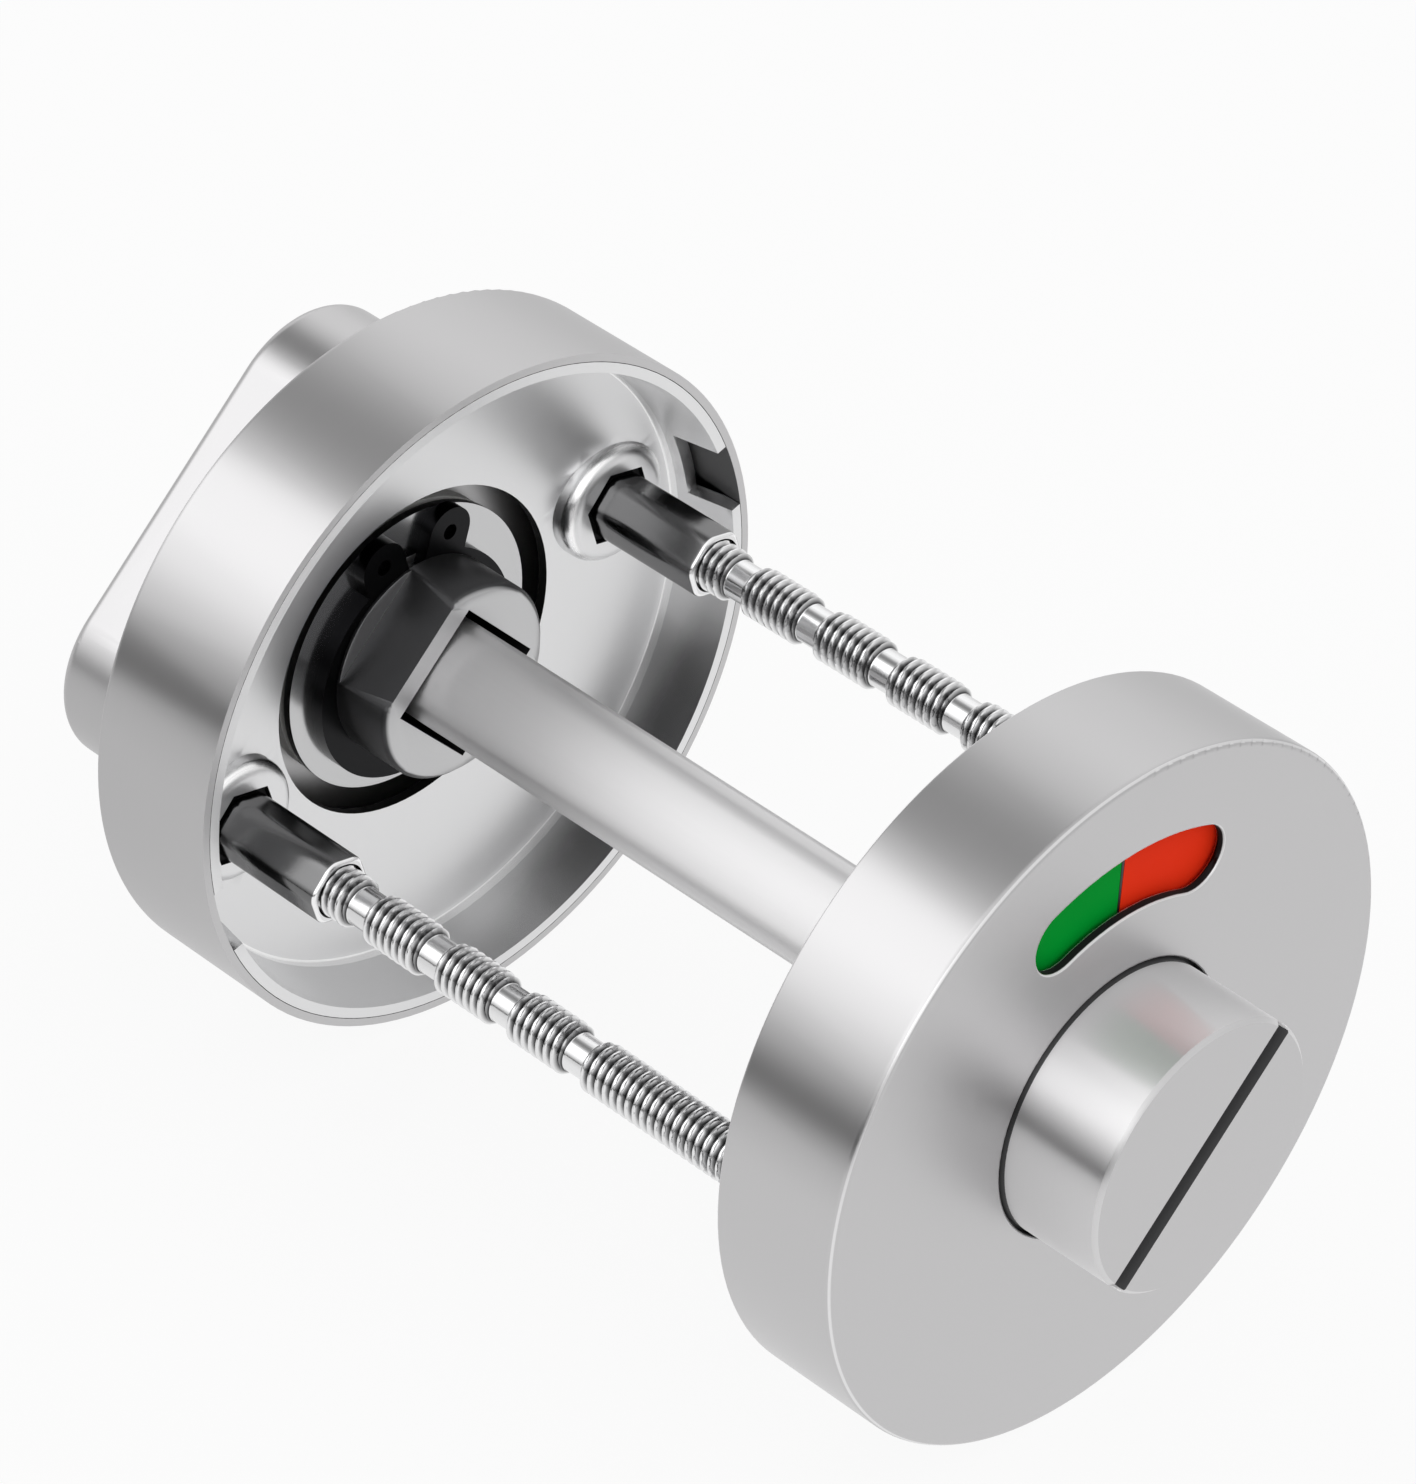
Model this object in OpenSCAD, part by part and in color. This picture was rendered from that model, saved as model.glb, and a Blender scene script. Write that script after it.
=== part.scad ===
// Indicator bolt for a toilet door: an outside rose with a coin release and a
// green and red window, an inside rose with a thumb turn, and the spindle and
// two break off bolts that join them through the door.
// Millimetres. The origin is on the spindle axis at the outside door face.
// The outside lies towards -Y, the inside towards +Y, and +Z is up.

/* [Door] */
// Thickness of the door between the two roses
door_t = 48.8; // [44:0.1:50]
// Most that the inside rose moves in for a thinner door
fit_travel = 8.8; // [5:0.1:9.2]

/* [Roses] */
// Diameter of both roses
rose_d = 52; // [51:0.5:58]
// Height of the outside rose
indicator_h = 10; // [9.8:0.1:13]
// Height of the inside rose
turn_h = 11; // [10.6:0.1:14]
// Thickness of a rose cover across its face
face_t = 0.8; // [0.7:0.1:1.2]
// Thickness of a rose cover round its skirt
skirt_t = 0.6; // [0.4:0.05:0.8]
// Rounding of a rose cover between its face and its skirt
edge_r = 0.5; // [0.3:0.1:0.7]

/* [Window] */
// Radius from the spindle axis to the middle of the window
window_mid_r = 17.45; // [17:0.05:17.8]
// Width of the window from its inner edge to its outer edge
window_w = 4.9; // [4:0.1:5.4]
// Angle between the centres of the two round ends of the window
window_sweep = 43; // [36:1:44]

/* [Base plates] */
// Thickness of the sheet that the base plates are pressed from
plate_t = 0.8; // [0.6:0.05:0.9]
// Gap between a base plate and the cover round it
plate_gap = 0.05; // [0.02:0.01:0.1]
// How far the wall of a base plate leans in between the rim and the floor
wall_lean = 0.85; // [0.6:0.05:1.4]
// Depth of the outside base plate at the edge of its floor
outside_floor = 3.6; // [3.4:0.1:3.8]
// Depth of the inside base plate at the edge of its floor
inside_floor = 5.4; // [5:0.1:5.6]
// How much deeper the outside floor is at its centre hole
outside_dish = 0.8; // [0.4:0.1:0.9]
// How much deeper the inside floor is at its centre hole
inside_dish = 1.6; // [0.8:0.1:1.8]
// Diameter of the centre hole in a base plate
centre_hole_d = 25.6; // [25:0.1:26.4]
// Diameter of a pressed boss
boss_d = 9.5; // [9:0.1:9.9]
// Height of a pressed boss above the floor
boss_h = 1.2; // [1:0.1:2.2]
// Rounding of a pressed boss
boss_round = 1.1; // [0.5:0.1:1.2]
// Width of a prising notch in the flange
notch_w = 6; // [4:0.5:8]
// Height of wall left between a prising notch and the floor
notch_land = 1.5; // [1.3:0.1:2]
// Angle of the first prising notch above the X axis
notch_angle = 18; // [14:1:20]

/* [Fixing bolts] */
// Distance between the two bolts
bolt_centres = 37; // [36:0.5:38.5]
// Angle of the upper bolt above the X axis
bolt_angle = 17; // [10:1:20]
// Diameter of a bolt over its thread
bolt_d = 3.84; // [3.4:0.02:3.9]
// Diameter of a bolt at a break off neck
neck_d = 2.9; // [2.4:0.1:3.1]
// Length of a break off neck
neck_l = 1.7; // [1:0.1:2.5]
// Length of the taper at each end of a neck
neck_taper = 0.4; // [0.2:0.1:0.6]
// Distance from one neck to the next
neck_pitch = 7; // [6:0.5:8]
// Number of necks on a bolt
neck_count = 4; // [2:1:4]
// Distance from the mouth of the sleeve to the first neck
first_neck = 3; // [2:0.1:4]
// Length of bolt inside its sleeve
bolt_grip = 5; // [4:0.1:5.2]
// Diameter of a bolt head
bolt_head_d = 7; // [6.2:0.1:7.4]
// Thickness of a bolt head
bolt_head_h = 1.4; // [1:0.1:1.6]
// Diameter of the plain shank under a bolt head
shank_d = 3.4; // [3.2:0.1:3.5]
// Width of the driver slot in a bolt head
driver_slot_w = 1; // [0.8:0.1:1.4]

/* [Sleeve nuts] */
// Width of a sleeve across its flats
sleeve_flats = 4.8; // [4.7:0.1:5]
// Diameter of a sleeve over its rounded corners
sleeve_d = 5.2; // [5.1:0.1:5.4]
// Gap all round between a bolt and the bore of its sleeve
bolt_gap = 0.08; // [0.05:0.01:0.1]
// Length of a sleeve that stands out past the inside door face
sleeve_reach = 4.8; // [4:0.1:6]
// Diameter of a sleeve head
sleeve_head_d = 7.2; // [6.8:0.1:7.6]
// Thickness of a sleeve head
sleeve_head_h = 1.5; // [1.2:0.1:1.8]
// Width across flats of the hexagon hole in an inside boss
hex_hole = 5.5; // [5.4:0.1:5.7]
// Angle that the hexagons are turned by
hex_turn = -11; // [-20:1:0]

/* [Spindle] */
// Width of the spindle between its two flats
spindle_w = 7.8; // [7.4:0.1:7.9]
// Thickness of the spindle over its two rounded faces
spindle_t = 8.4; // [8:0.1:8.6]
// Radius of a rounded face of the spindle
spindle_face_r = 12; // [9:0.5:16]
// Diameter that the corners of the spindle are turned to
spindle_corner_d = 9.6; // [9.3:0.1:10.2]
// Length of the spindle inside the coin knob
spindle_seat = 12.8; // [10:0.1:13.4]
// Length of the spindle inside the turn hub
spindle_grip = 4.4; // [3.6:0.1:4.6]
// Gap between the spindle and the socket of the coin knob
spindle_knob_gap = 0.1; // [0.05:0.01:0.15]
// Gap between the spindle and the socket of the turn hub
spindle_hub_gap = 0.35; // [0.2:0.05:0.4]

/* [Coin release] */
// Diameter of the coin knob
knob_d = 20.2; // [20:0.1:20.6]
// Height of the coin knob above the face of the rose
knob_h = 8; // [6:0.5:10]
// Gap between the coin knob and the hole in the outside cover
knob_gap = 0.25; // [0.15:0.05:0.5]
// Chamfer round the end of the coin knob
knob_chamfer = 0.3; // [0.1:0.1:0.6]
// Width of the coin slot
slot_w = 1.6; // [1:0.1:2]
// Depth of the coin slot
slot_depth = 2.4; // [1.5:0.1:3]
// Diameter of the journal of the coin knob
journal_d = 13.2; // [13:0.1:13.6]
// Diameter of the pin through the knob and the spindle
pin_d = 1.6; // [1.2:0.1:1.6]

/* [Indicator disc] */
// Diameter of the indicator disc
disc_d = 43; // [42.6:0.1:43.4]
// Thickness of the indicator disc
disc_t = 1; // [0.8:0.1:1.1]
// Gap between the disc and the face of the outside cover
disc_gap = 0.2; // [0.15:0.05:0.4]
// Gap between the disc and the carrier behind it
carrier_gap = 0.4; // [0.2:0.05:0.5]
// Thickness of a coloured inlay
inlay_t = 0.5; // [0.3:0.05:0.6]
// How far an inlay runs past the window at its inner and outer edges
inlay_lap = 0.8; // [0.6:0.05:1]
// Width of the line between the two inlays, as an angle
parting_angle = 1; // [0.6:0.1:2]
// Angle that the release turns each way from the pose shown
half_turn = 45; // [40:1:45]
// Width of the stop lug on the carrier
stop_w = 4; // [3:0.5:5]
// Thickness of the web of the carrier
carrier_t = 1.2; // [1:0.1:1.3]

/* [Turn hub and thumb turn] */
// Diameter of the turn hub
hub_d = 15.3; // [15.1:0.1:15.7]
// Width of the turn hub across its flats
hub_flats = 12.2; // [11.6:0.1:12.4]
// Depth of the end of the turn hub below the inside door face
hub_inset = 1.8; // [1.4:0.1:2.2]
// Length of the flats at the end of the turn hub
hub_flat_l = 4.7; // [4:0.1:4.8]
// Thickness of the end wall of the hub
hub_end_t = 1.9; // [1.7:0.1:2.2]
// Length of the thumb turn
turn_l = 37; // [34:0.5:44]
// Width of the thumb turn over its round ends
turn_w = 16; // [15.6:0.1:18]
// Height of the thumb turn
turn_grip_h = 15.8; // [14:0.1:20]
// Rounding round the top of the thumb turn
turn_round = 1; // [0.5:0.1:2]
// Radius of the arched outline of the finger scoop
scoop_arch_r = 25; // [22:1:30]
// Distance from the top of the thumb turn to the crown of the scoop
scoop_crown = 2; // [1.5:0.1:3]
// Radius of the hollow of the finger scoop
scoop_r = 220; // [200:10:320]
// Gap between the thumb turn and the inside bush
turn_gap = 0.1; // [0.05:0.05:0.2]
// Diameter of the screw that holds the hub in the thumb turn
turn_screw_d = 3.8; // [3:0.1:4]
// Length of that screw below its head
turn_screw_l = 8; // [6:0.5:9]

/* [Bearings and clips] */
// Gap all round between a journal and its bearing
running_gap = 0.06; // [0.02:0.01:0.1]
// Diameter of the barrel of the inside bush
bush_d = 18.4; // [17.8:0.1:19]
// Height of the inside bush above the face of the inside cover
bush_stand = 0.25; // [0.1:0.05:0.4]
// Diameter of the flange of the inside bush
bush_flange_d = 22; // [21:0.1:23]
// Outer diameter of the bright washers
washer_d = 22.2; // [21.6:0.1:23]
// Thickness of the bright washers
washer_t = 0.6; // [0.5:0.1:0.8]
// Thickness of the sheet of a dished spring washer
spring_t = 0.3; // [0.2:0.05:0.4]
// Height of the dish of a spring washer
spring_dish = 0.26; // [0.15:0.01:0.3]
// Thickness of the snap rings
clip_t = 1; // [0.8:0.1:1.2]
// Depth of the groove that a snap ring sits in
groove_depth = 0.7; // [0.5:0.1:0.8]
// Width of a snap ring at its thickest
clip_w = 3; // [2.6:0.1:3.2]
// Radius of an ear of a snap ring
ear_r = 1.9; // [1.6:0.1:2]
// Angle between the two ears of a snap ring
ear_angle = 33; // [31:1:38]
// Angle of the gap of the inside snap ring above the X axis
clip_angle = 92; // [80:1:110]

/* [Hidden] */
$fn = 96;

// Direction of the thumb turn and of the coin slot in the pose shown
rest_angle = 45;
// Small length by which a cut runs past a surface
past = 0.5;
// Loose gap round a piece that is held by another in the same rose
seat_gap = 0.05;
// Room left past the spindle when the inside rose is as far in as it goes
spindle_spare = 0.65;
// Length of the stem of the coin knob past its groove
stem_lip = 0.7;
// Depth of the socket of the coin knob past the end of the spindle
socket_spare = 0.2;
// Chamfers of the pieces that are pushed or screwed into others
stem_chamfer = 0.3;
hub_chamfer = 0.5;
bolt_chamfer = 0.6;
sleeve_chamfer = 0.35;
// Gap between the shoulder of a sleeve and its hexagon hole, all round and below its mouth
hex_gap = 0.1;
shoulder_inset = 0.35;
// Length of plain shank past the base plate before the thread of a bolt starts
shank_run = 0.8;
// Width of the dished ring of a spring washer
spring_w = 2.2;
// Wall round the bearing of the carrier, and its rim
bearing_wall = 2.6;
rim_t = 0.9;
// Height of the cylindrical edge of a base plate at the door face
flange_land = 1.2;
// How far a snap ring lies off centre, so that it is widest across from its ears
clip_shift = 0.95;
// Distance from the bore of a snap ring to the middle of its ears
ear_out = 2.35;
// Radius of the holes in the ears
ear_hole_r = 0.6;
// How far the head of the turn screw stands out past its thread all round
screw_lip = 1.3;
// Depth of the stop notch in the indicator disc
stop_depth = 2.2;
// Play of the stop lug in its notch at each end of the turn, as an angle
stop_play = 0.6;
// Angle that each colour runs on past the window at the end of its turn
colour_spare = 1.5;

rose_r = rose_d / 2;
skirt_in_r = rose_r - skirt_t;
flange_out_r = skirt_in_r - plate_gap;
flange_in_r = flange_out_r - plate_t;
floor_r = flange_in_r - wall_lean;
centre_hole_r = centre_hole_d / 2;
bolt_x = bolt_centres / 2 * cos(bolt_angle);
bolt_z = bolt_centres / 2 * sin(bolt_angle);
boss_r = boss_d / 2;

// Depths in the outside rose, counted outward from the outside door face
cover_back = indicator_h - face_t;
disc_front = cover_back - disc_gap;
disc_back = disc_front - disc_t;
carrier_front = disc_back - carrier_gap;
carrier_back = carrier_front - carrier_t;
carrier_hub_front = disc_back - carrier_gap / 2;
carrier_hub_back = carrier_back - carrier_gap;
pin_depth = (carrier_hub_front + carrier_hub_back) / 2;
spring_h = spring_t + spring_dish;
out_spring_front = carrier_hub_back - running_gap;
out_washer_front = out_spring_front - spring_h;
out_clip_front = out_washer_front - washer_t;
stem_end = out_clip_front - clip_t - stem_lip - stem_chamfer;
knob_end = indicator_h + knob_h;

// Depths in the inside rose, counted inward from the inside door face
turn_back = turn_h - face_t;
clip_front = hub_inset + hub_flat_l + past / 2;
washer_front = clip_front + clip_t;
spring_front = washer_front + washer_t;
flange_front = spring_front + spring_h + running_gap;
grip_front = turn_h + bush_stand + turn_gap;
grip_end = grip_front + turn_grip_h;
socket_end = hub_inset + spindle_grip + fit_travel + spindle_spare;
shank_end = socket_end + hub_end_t;
shank_l = shank_end - grip_front;

// Radii of the turning parts
knob_r = knob_d / 2;
journal_r = journal_d / 2;
hub_r = hub_d / 2;
key_r = journal_r + 1;
key_flat = journal_r - 0.4;
end_r = turn_w / 2;
end_centre = (turn_l - turn_w) / 2;

// Bolts, measured along Y
sleeve_mouth = door_t - sleeve_reach;
bolt_end = sleeve_mouth + bolt_grip;
neck_places = [for (i = [0 : neck_count - 1]) sleeve_mouth - first_neck - i * neck_pitch];

// Ends of the colours on the disc, as angles above the X axis
window_end = window_sweep / 2 + asin(window_w / 2 / window_mid_r);
colour_reach = half_turn + window_end + colour_spare;
parting_at = 90;
inlay_in_r = window_mid_r - window_w / 2 - inlay_lap;
inlay_out_r = window_mid_r + window_w / 2 + inlay_lap;
disc_r = disc_d / 2;
stop_in_r = disc_r - stop_depth;
stop_half = half_turn + asin(stop_w / 2 / stop_in_r) + stop_play;

// Depth of a base plate floor at radius r
function floor_at(r, depth, dish) =
    depth + dish * (floor_r - r) / (floor_r - centre_hole_r);

// Depth of the top of a boss
function boss_top(depth, dish) = floor_at(bolt_centres / 2, depth, dish) - boss_h;

// Point of a circle at angle a
function on_circle(r, a) = [r * cos(a), r * sin(a)];

// Places a shape drawn with its axis along Z in the outside rose, where Z counts outward
module outside() {
    rotate([90, 0, 0]) children();
}

// Places a shape drawn with its axis along Z in the inside rose, where Z counts inward
module inside() {
    translate([0, door_t, 0]) rotate([90, 0, 0]) mirror([0, 0, 1]) children();
}

// Places a shape drawn with its axis along Z on the line of a bolt, where Z runs along Y
module on_bolt(side) {
    translate([side * bolt_x, 0, side * bolt_z])
        rotate([90, 0, 0]) mirror([0, 0, 1]) children();
}

// Half section of a disc with a rounded outer top edge
module rounded_half(r, h, f) {
    square([r, h - f]);
    square([r - f, h]);
    translate([r - f, h - f]) circle(r = f, $fn = 64);
}

// Wedge from angle a to angle b, up to 170 degrees wide
module wedge(r, a, b) {
    polygon([[0, 0], on_circle(r, a), on_circle(r, (2 * a + b) / 3),
        on_circle(r, (a + 2 * b) / 3), on_circle(r, b)]);
}

// Part of a ring from angle a to angle b
module ring_sector(r_in, r_out, a, b) {
    intersection() {
        difference() {
            circle(r = r_out);
            circle(r = r_in);
        }
        wedge(3 * r_out, a, b);
    }
}

// Section of a bar with round sides cut by two flats
module double_d(r, flats) {
    intersection() {
        circle(r = r);
        square([2 * r + 1, flats], center = true);
    }
}

// Section of the spindle: two flats across its width and two rounded faces
module spindle_section(gap) {
    intersection() {
        square([spindle_w + 2 * gap, spindle_t + 2 * gap], center = true);
        translate([0, spindle_t / 2 - spindle_face_r]) circle(r = spindle_face_r + gap);
        translate([0, spindle_face_r - spindle_t / 2]) circle(r = spindle_face_r + gap);
        circle(d = spindle_corner_d + 2 * gap);
    }
}

// Round cover of a rose, a cup that opens towards the door
module rose_cover(h, hole_r) {
    rotate_extrude() difference() {
        rounded_half(rose_r, h, edge_r);
        translate([0, -past]) square([skirt_in_r, h - face_t + past]);
        translate([0, -past]) square([hole_r, h + 2 * past]);
    }
}

// Space on the door side of the back of a base plate
module plate_envelope(depth, dish) {
    rotate_extrude() polygon([[0, 0], [flange_out_r, 0], [flange_out_r, flange_land],
        [floor_r + plate_t, depth + plate_t], [centre_hole_r, depth + dish + plate_t],
        [0, depth + dish + plate_t]]);
}

// Dished base plate with two pressed bosses and two prising notches
module base_plate(depth, dish) {
    top = boss_top(depth, dish);
    difference() {
        union() {
            rotate_extrude() polygon([[flange_in_r, 0], [flange_out_r, 0],
                [flange_out_r, flange_land], [floor_r + plate_t, depth + plate_t],
                [centre_hole_r, depth + dish + plate_t], [centre_hole_r, depth + dish],
                [floor_r, depth]]);
            intersection() {
                plate_envelope(depth, dish);
                for (side = [-1, 1])
                    translate([side * bolt_x, side * bolt_z, top + 2 * boss_h])
                        mirror([0, 0, 1])
                            rotate_extrude() rounded_half(boss_r, 2 * boss_h, boss_round);
            }
        }
        for (side = [-1, 1]) {
            translate([side * bolt_x, side * bolt_z, top + plate_t])
                cylinder(r = boss_r - plate_t, h = 3 * boss_h);
            translate([side * bolt_x, side * bolt_z, top - past])
                linear_extrude(plate_t + 2 * past) children();
            rotate([0, 0, notch_angle + (side > 0 ? 0 : 180)])
                translate([floor_r - 1, -notch_w / 2, -past])
                    cube([flange_out_r - floor_r + 2, notch_w, depth - notch_land + past]);
        }
    }
}

// Flat snap ring with two ears and its gap at angle a
module snap_ring(groove_r, a) {
    ring_r = groove_r + clip_w - clip_shift;
    ear_at = groove_r + seat_gap + ear_out;
    rotate([0, 0, a]) linear_extrude(clip_t) difference() {
        union() {
            difference() {
                translate([-clip_shift, 0]) circle(r = ring_r);
                wedge(3 * ring_r, -ear_angle / 2, ear_angle / 2);
            }
            for (side = [-1, 1]) rotate(side * ear_angle / 2) {
                translate([ear_at, side * ear_r / 4]) circle(r = ear_r, $fn = 48);
                translate([groove_r, side * ear_r / 4 - ear_r])
                    square([ear_at - groove_r, 2 * ear_r]);
            }
        }
        circle(r = groove_r + seat_gap);
        for (side = [-1, 1]) rotate(side * ear_angle / 2)
            translate([ear_at, side * ear_r / 4]) circle(r = ear_hole_r, $fn = 32);
    }
}

// Flat washer
module flat_washer(r_in, r_out, t) {
    rotate_extrude() translate([r_in, 0]) square([r_out - r_in, t]);
}

// Dished spring washer
module spring_washer(r_in, r_out) {
    rotate_extrude() polygon([[r_in, 0], [r_out, spring_dish], [r_out, spring_h],
        [r_in, spring_t]]);
}

// Coloured sector of the disc, from the parting line to the end of its colour
module colour_sector(side, gap) {
    a = parting_at + side * parting_angle / 2;
    b = 90 + side * colour_reach;
    spread = gap / window_mid_r * 180 / PI;
    ring_sector(inlay_in_r - gap, inlay_out_r + gap,
        side > 0 ? a - spread : b - spread, side > 0 ? b + spread : a + spread);
}

// Coloured inlay that lies in a pocket of the disc
module inlay(side) {
    outside() translate([0, 0, disc_front - inlay_t])
        linear_extrude(inlay_t) colour_sector(side, 0);
}

// Break off bolt: a rod with necks where it snaps to length
module fixing_bolt(side) {
    seat = -boss_top(outside_floor, outside_dish) - plate_t;
    head_end = seat - bolt_head_h;
    thread_start = seat + plate_t + shank_run;
    rod_r = bolt_d / 2;
    neck_r = neck_d / 2;
    necks = [for (i = [neck_count - 1 : -1 : 0])
        for (p = [[rod_r, -neck_l / 2 - neck_taper], [neck_r, -neck_l / 2],
            [neck_r, neck_l / 2], [rod_r, neck_l / 2 + neck_taper]])
            [p[0], neck_places[i] + p[1]]];
    on_bolt(side) difference() {
        rotate_extrude() polygon(concat([[0, head_end], [bolt_head_d / 2, head_end],
            [bolt_head_d / 2, seat], [shank_d / 2, seat], [shank_d / 2, thread_start],
            [rod_r, thread_start + rod_r - shank_d / 2]], necks,
            [[rod_r, bolt_end - bolt_chamfer], [rod_r - bolt_chamfer, bolt_end], [0, bolt_end]]));
        translate([0, 0, head_end])
            cube([bolt_head_d + 1, driver_slot_w, bolt_head_h], center = true);
    }
}

// Sleeve nut: a rounded hexagon tube, a hexagon shoulder in the hole of the base plate, and a head
module sleeve_nut(side) {
    tube_l = boss_top(inside_floor, inside_dish) + plate_t + sleeve_reach;
    inside() translate([side * bolt_x, side * bolt_z, -sleeve_reach]) difference() {
        union() {
            intersection() {
                rotate(hex_turn) cylinder(d = sleeve_flats / cos(30), h = tube_l + past / 2, $fn = 6);
                rotate_extrude() polygon([[0, 0], [sleeve_d / 2 - sleeve_chamfer, 0],
                    [sleeve_d / 2, sleeve_chamfer], [sleeve_d / 2, tube_l + past / 2],
                    [0, tube_l + past / 2]]);
            }
            translate([0, 0, tube_l - plate_t + shoulder_inset]) rotate(hex_turn)
                cylinder(d = (hex_hole - 2 * hex_gap) / cos(30), h = plate_t, $fn = 6);
            translate([0, 0, tube_l]) cylinder(d = sleeve_head_d, h = sleeve_head_h);
        }
        translate([0, 0, -past])
            cylinder(r = bolt_d / 2 + bolt_gap, h = tube_l + sleeve_head_h + 2 * past);
    }
}

// Outside rose cover with the arc window and the hole for the knob
module indicator_cover() {
    color("silver") outside() difference() {
        rose_cover(indicator_h, knob_r + knob_gap);
        translate([0, 0, cover_back - past]) linear_extrude(face_t + 2 * past) union() {
            ring_sector(window_mid_r - window_w / 2, window_mid_r + window_w / 2,
                90 - window_sweep / 2, 90 + window_sweep / 2);
            for (side = [-1, 1])
                translate(on_circle(window_mid_r, 90 + side * window_sweep / 2))
                    circle(d = window_w, $fn = 64);
        }
    }
}

// Outside base plate with round bolt holes
module indicator_base_plate() {
    color("gainsboro") outside() base_plate(outside_floor, outside_dish)
        circle(d = bolt_d + 0.4);
}

// Moulded carrier in the outside cover: bearing of the knob and stop of the disc
module release_carrier() {
    color([0.12, 0.12, 0.12]) outside() difference() {
        union() {
            translate([0, 0, carrier_back])
                cylinder(r = flange_out_r, h = carrier_t);
            translate([0, 0, carrier_hub_back])
                cylinder(r = journal_r + bearing_wall, h = carrier_hub_front - carrier_hub_back);
            translate([0, 0, carrier_front - past]) difference() {
                cylinder(r = flange_out_r, h = cover_back - carrier_front + past);
                translate([0, 0, -past])
                    cylinder(r = flange_out_r - rim_t, h = cover_back - carrier_front + 3 * past);
            }
            translate([-stop_w / 2, rim_t / 2 - flange_out_r, carrier_front - past])
                cube([stop_w, flange_out_r - rim_t / 2 - stop_in_r - disc_gap,
                    disc_front - carrier_front + past]);
        }
        translate([0, 0, carrier_hub_back - past])
            cylinder(r = journal_r + running_gap, h = indicator_h);
    }
}

// Coin knob with its slot, key, journal, groove and spindle socket
module coin_knob() {
    color("silver") outside() rotate([0, 0, rest_angle]) difference() {
        union() {
            rotate_extrude() polygon([[0, disc_front], [knob_r, disc_front],
                [knob_r, knob_end - knob_chamfer], [knob_r - knob_chamfer, knob_end],
                [0, knob_end]]);
            translate([0, 0, carrier_hub_front + seat_gap])
                linear_extrude(disc_front - carrier_hub_front) double_d(key_r, 2 * key_flat);
            rotate_extrude() polygon([[0, stem_end], [journal_r - stem_chamfer, stem_end],
                [journal_r, stem_end + stem_chamfer], [journal_r, out_clip_front - clip_t],
                [journal_r - groove_depth, out_clip_front - clip_t],
                [journal_r - groove_depth, out_clip_front], [journal_r, out_clip_front],
                [journal_r, disc_back - seat_gap], [0, disc_back - seat_gap]]);
        }
        translate([-knob_r - 1, -slot_w / 2, knob_end - slot_depth])
            cube([2 * knob_r + 2, slot_w, slot_depth + 1]);
        translate([0, 0, stem_end - past])
            linear_extrude(spindle_seat + past + socket_spare - stem_end) spindle_section(spindle_knob_gap);
        translate([0, 0, pin_depth]) rotate([0, 90, 0])
            cylinder(r = pin_d / 2 + seat_gap, h = 2 * key_r + 2, center = true, $fn = 48);
    }
}

// Disc that turns with the knob, with two pockets for the inlays and a stop notch
module indicator_disc() {
    color([0.1, 0.1, 0.1]) outside() difference() {
        translate([0, 0, disc_back]) cylinder(r = disc_r, h = disc_t);
        for (side = [-1, 1])
            translate([0, 0, disc_front - inlay_t - seat_gap])
                linear_extrude(inlay_t + 1) colour_sector(side, seat_gap);
        translate([0, 0, disc_back - past]) linear_extrude(disc_t + 2 * past) union() {
            rotate(rest_angle) double_d(key_r + seat_gap, 2 * (key_flat + seat_gap));
            ring_sector(stop_in_r, disc_r + 1, 270 - stop_half, 270 + stop_half);
        }
    }
}

// Green inlay, seen when the room is free
module vacant_inlay() {
    color("green") inlay(1);
}

// Red inlay, seen when the room is in use
module engaged_inlay() {
    color("red") inlay(-1);
}

// Washer under the snap ring of the coin knob
module release_washer() {
    color("silver") outside() translate([0, 0, out_clip_front])
        flat_washer(journal_r + seat_gap, washer_d / 2, washer_t);
}

// Spring washer that makes the coin knob stay where it is put
module release_spring_washer() {
    color("gray") outside() translate([0, 0, out_washer_front])
        spring_washer(journal_r + 4 * seat_gap, journal_r + 4 * seat_gap + spring_w);
}

// Snap ring in the groove of the coin knob
module release_snap_ring() {
    color([0.15, 0.15, 0.15]) outside() translate([0, 0, out_clip_front - clip_t])
        snap_ring(journal_r - groove_depth, rest_angle);
}

// Spindle through the door, with two flats and two rounded faces
module spindle() {
    length = spindle_seat + door_t + hub_inset + spindle_grip;
    color("silver") difference() {
        translate([0, door_t + hub_inset + spindle_grip, 0])
            rotate([90, 0, 0]) rotate([0, 0, rest_angle])
                linear_extrude(length) spindle_section(0);
        outside() translate([0, 0, pin_depth])
            rotate([0, 0, rest_angle]) rotate([0, 90, 0])
                cylinder(r = pin_d / 2 + seat_gap, h = spindle_w + 2, center = true, $fn = 48);
    }
}

// Pin through the coin knob and the spindle, kept in by the bearing
module spindle_pin() {
    color("dimgray") outside() translate([0, 0, pin_depth])
        rotate([0, 0, rest_angle]) rotate([0, 90, 0])
            cylinder(r = pin_d / 2, h = 2 * journal_r - 0.3, center = true, $fn = 48);
}

// Fixing bolt beside the upper end of the thumb turn
module upper_fixing_bolt() {
    color("lightgray") fixing_bolt(1);
}

// Fixing bolt beside the lower end of the thumb turn
module lower_fixing_bolt() {
    color("lightgray") fixing_bolt(-1);
}

// Sleeve nut of the upper bolt
module upper_sleeve_nut() {
    color("dimgray") sleeve_nut(1);
}

// Sleeve nut of the lower bolt
module lower_sleeve_nut() {
    color("dimgray") sleeve_nut(-1);
}

// Inside rose cover with the hole for the bush
module turn_cover() {
    color("silver") inside() rose_cover(turn_h, bush_d / 2 + seat_gap);
}

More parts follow.
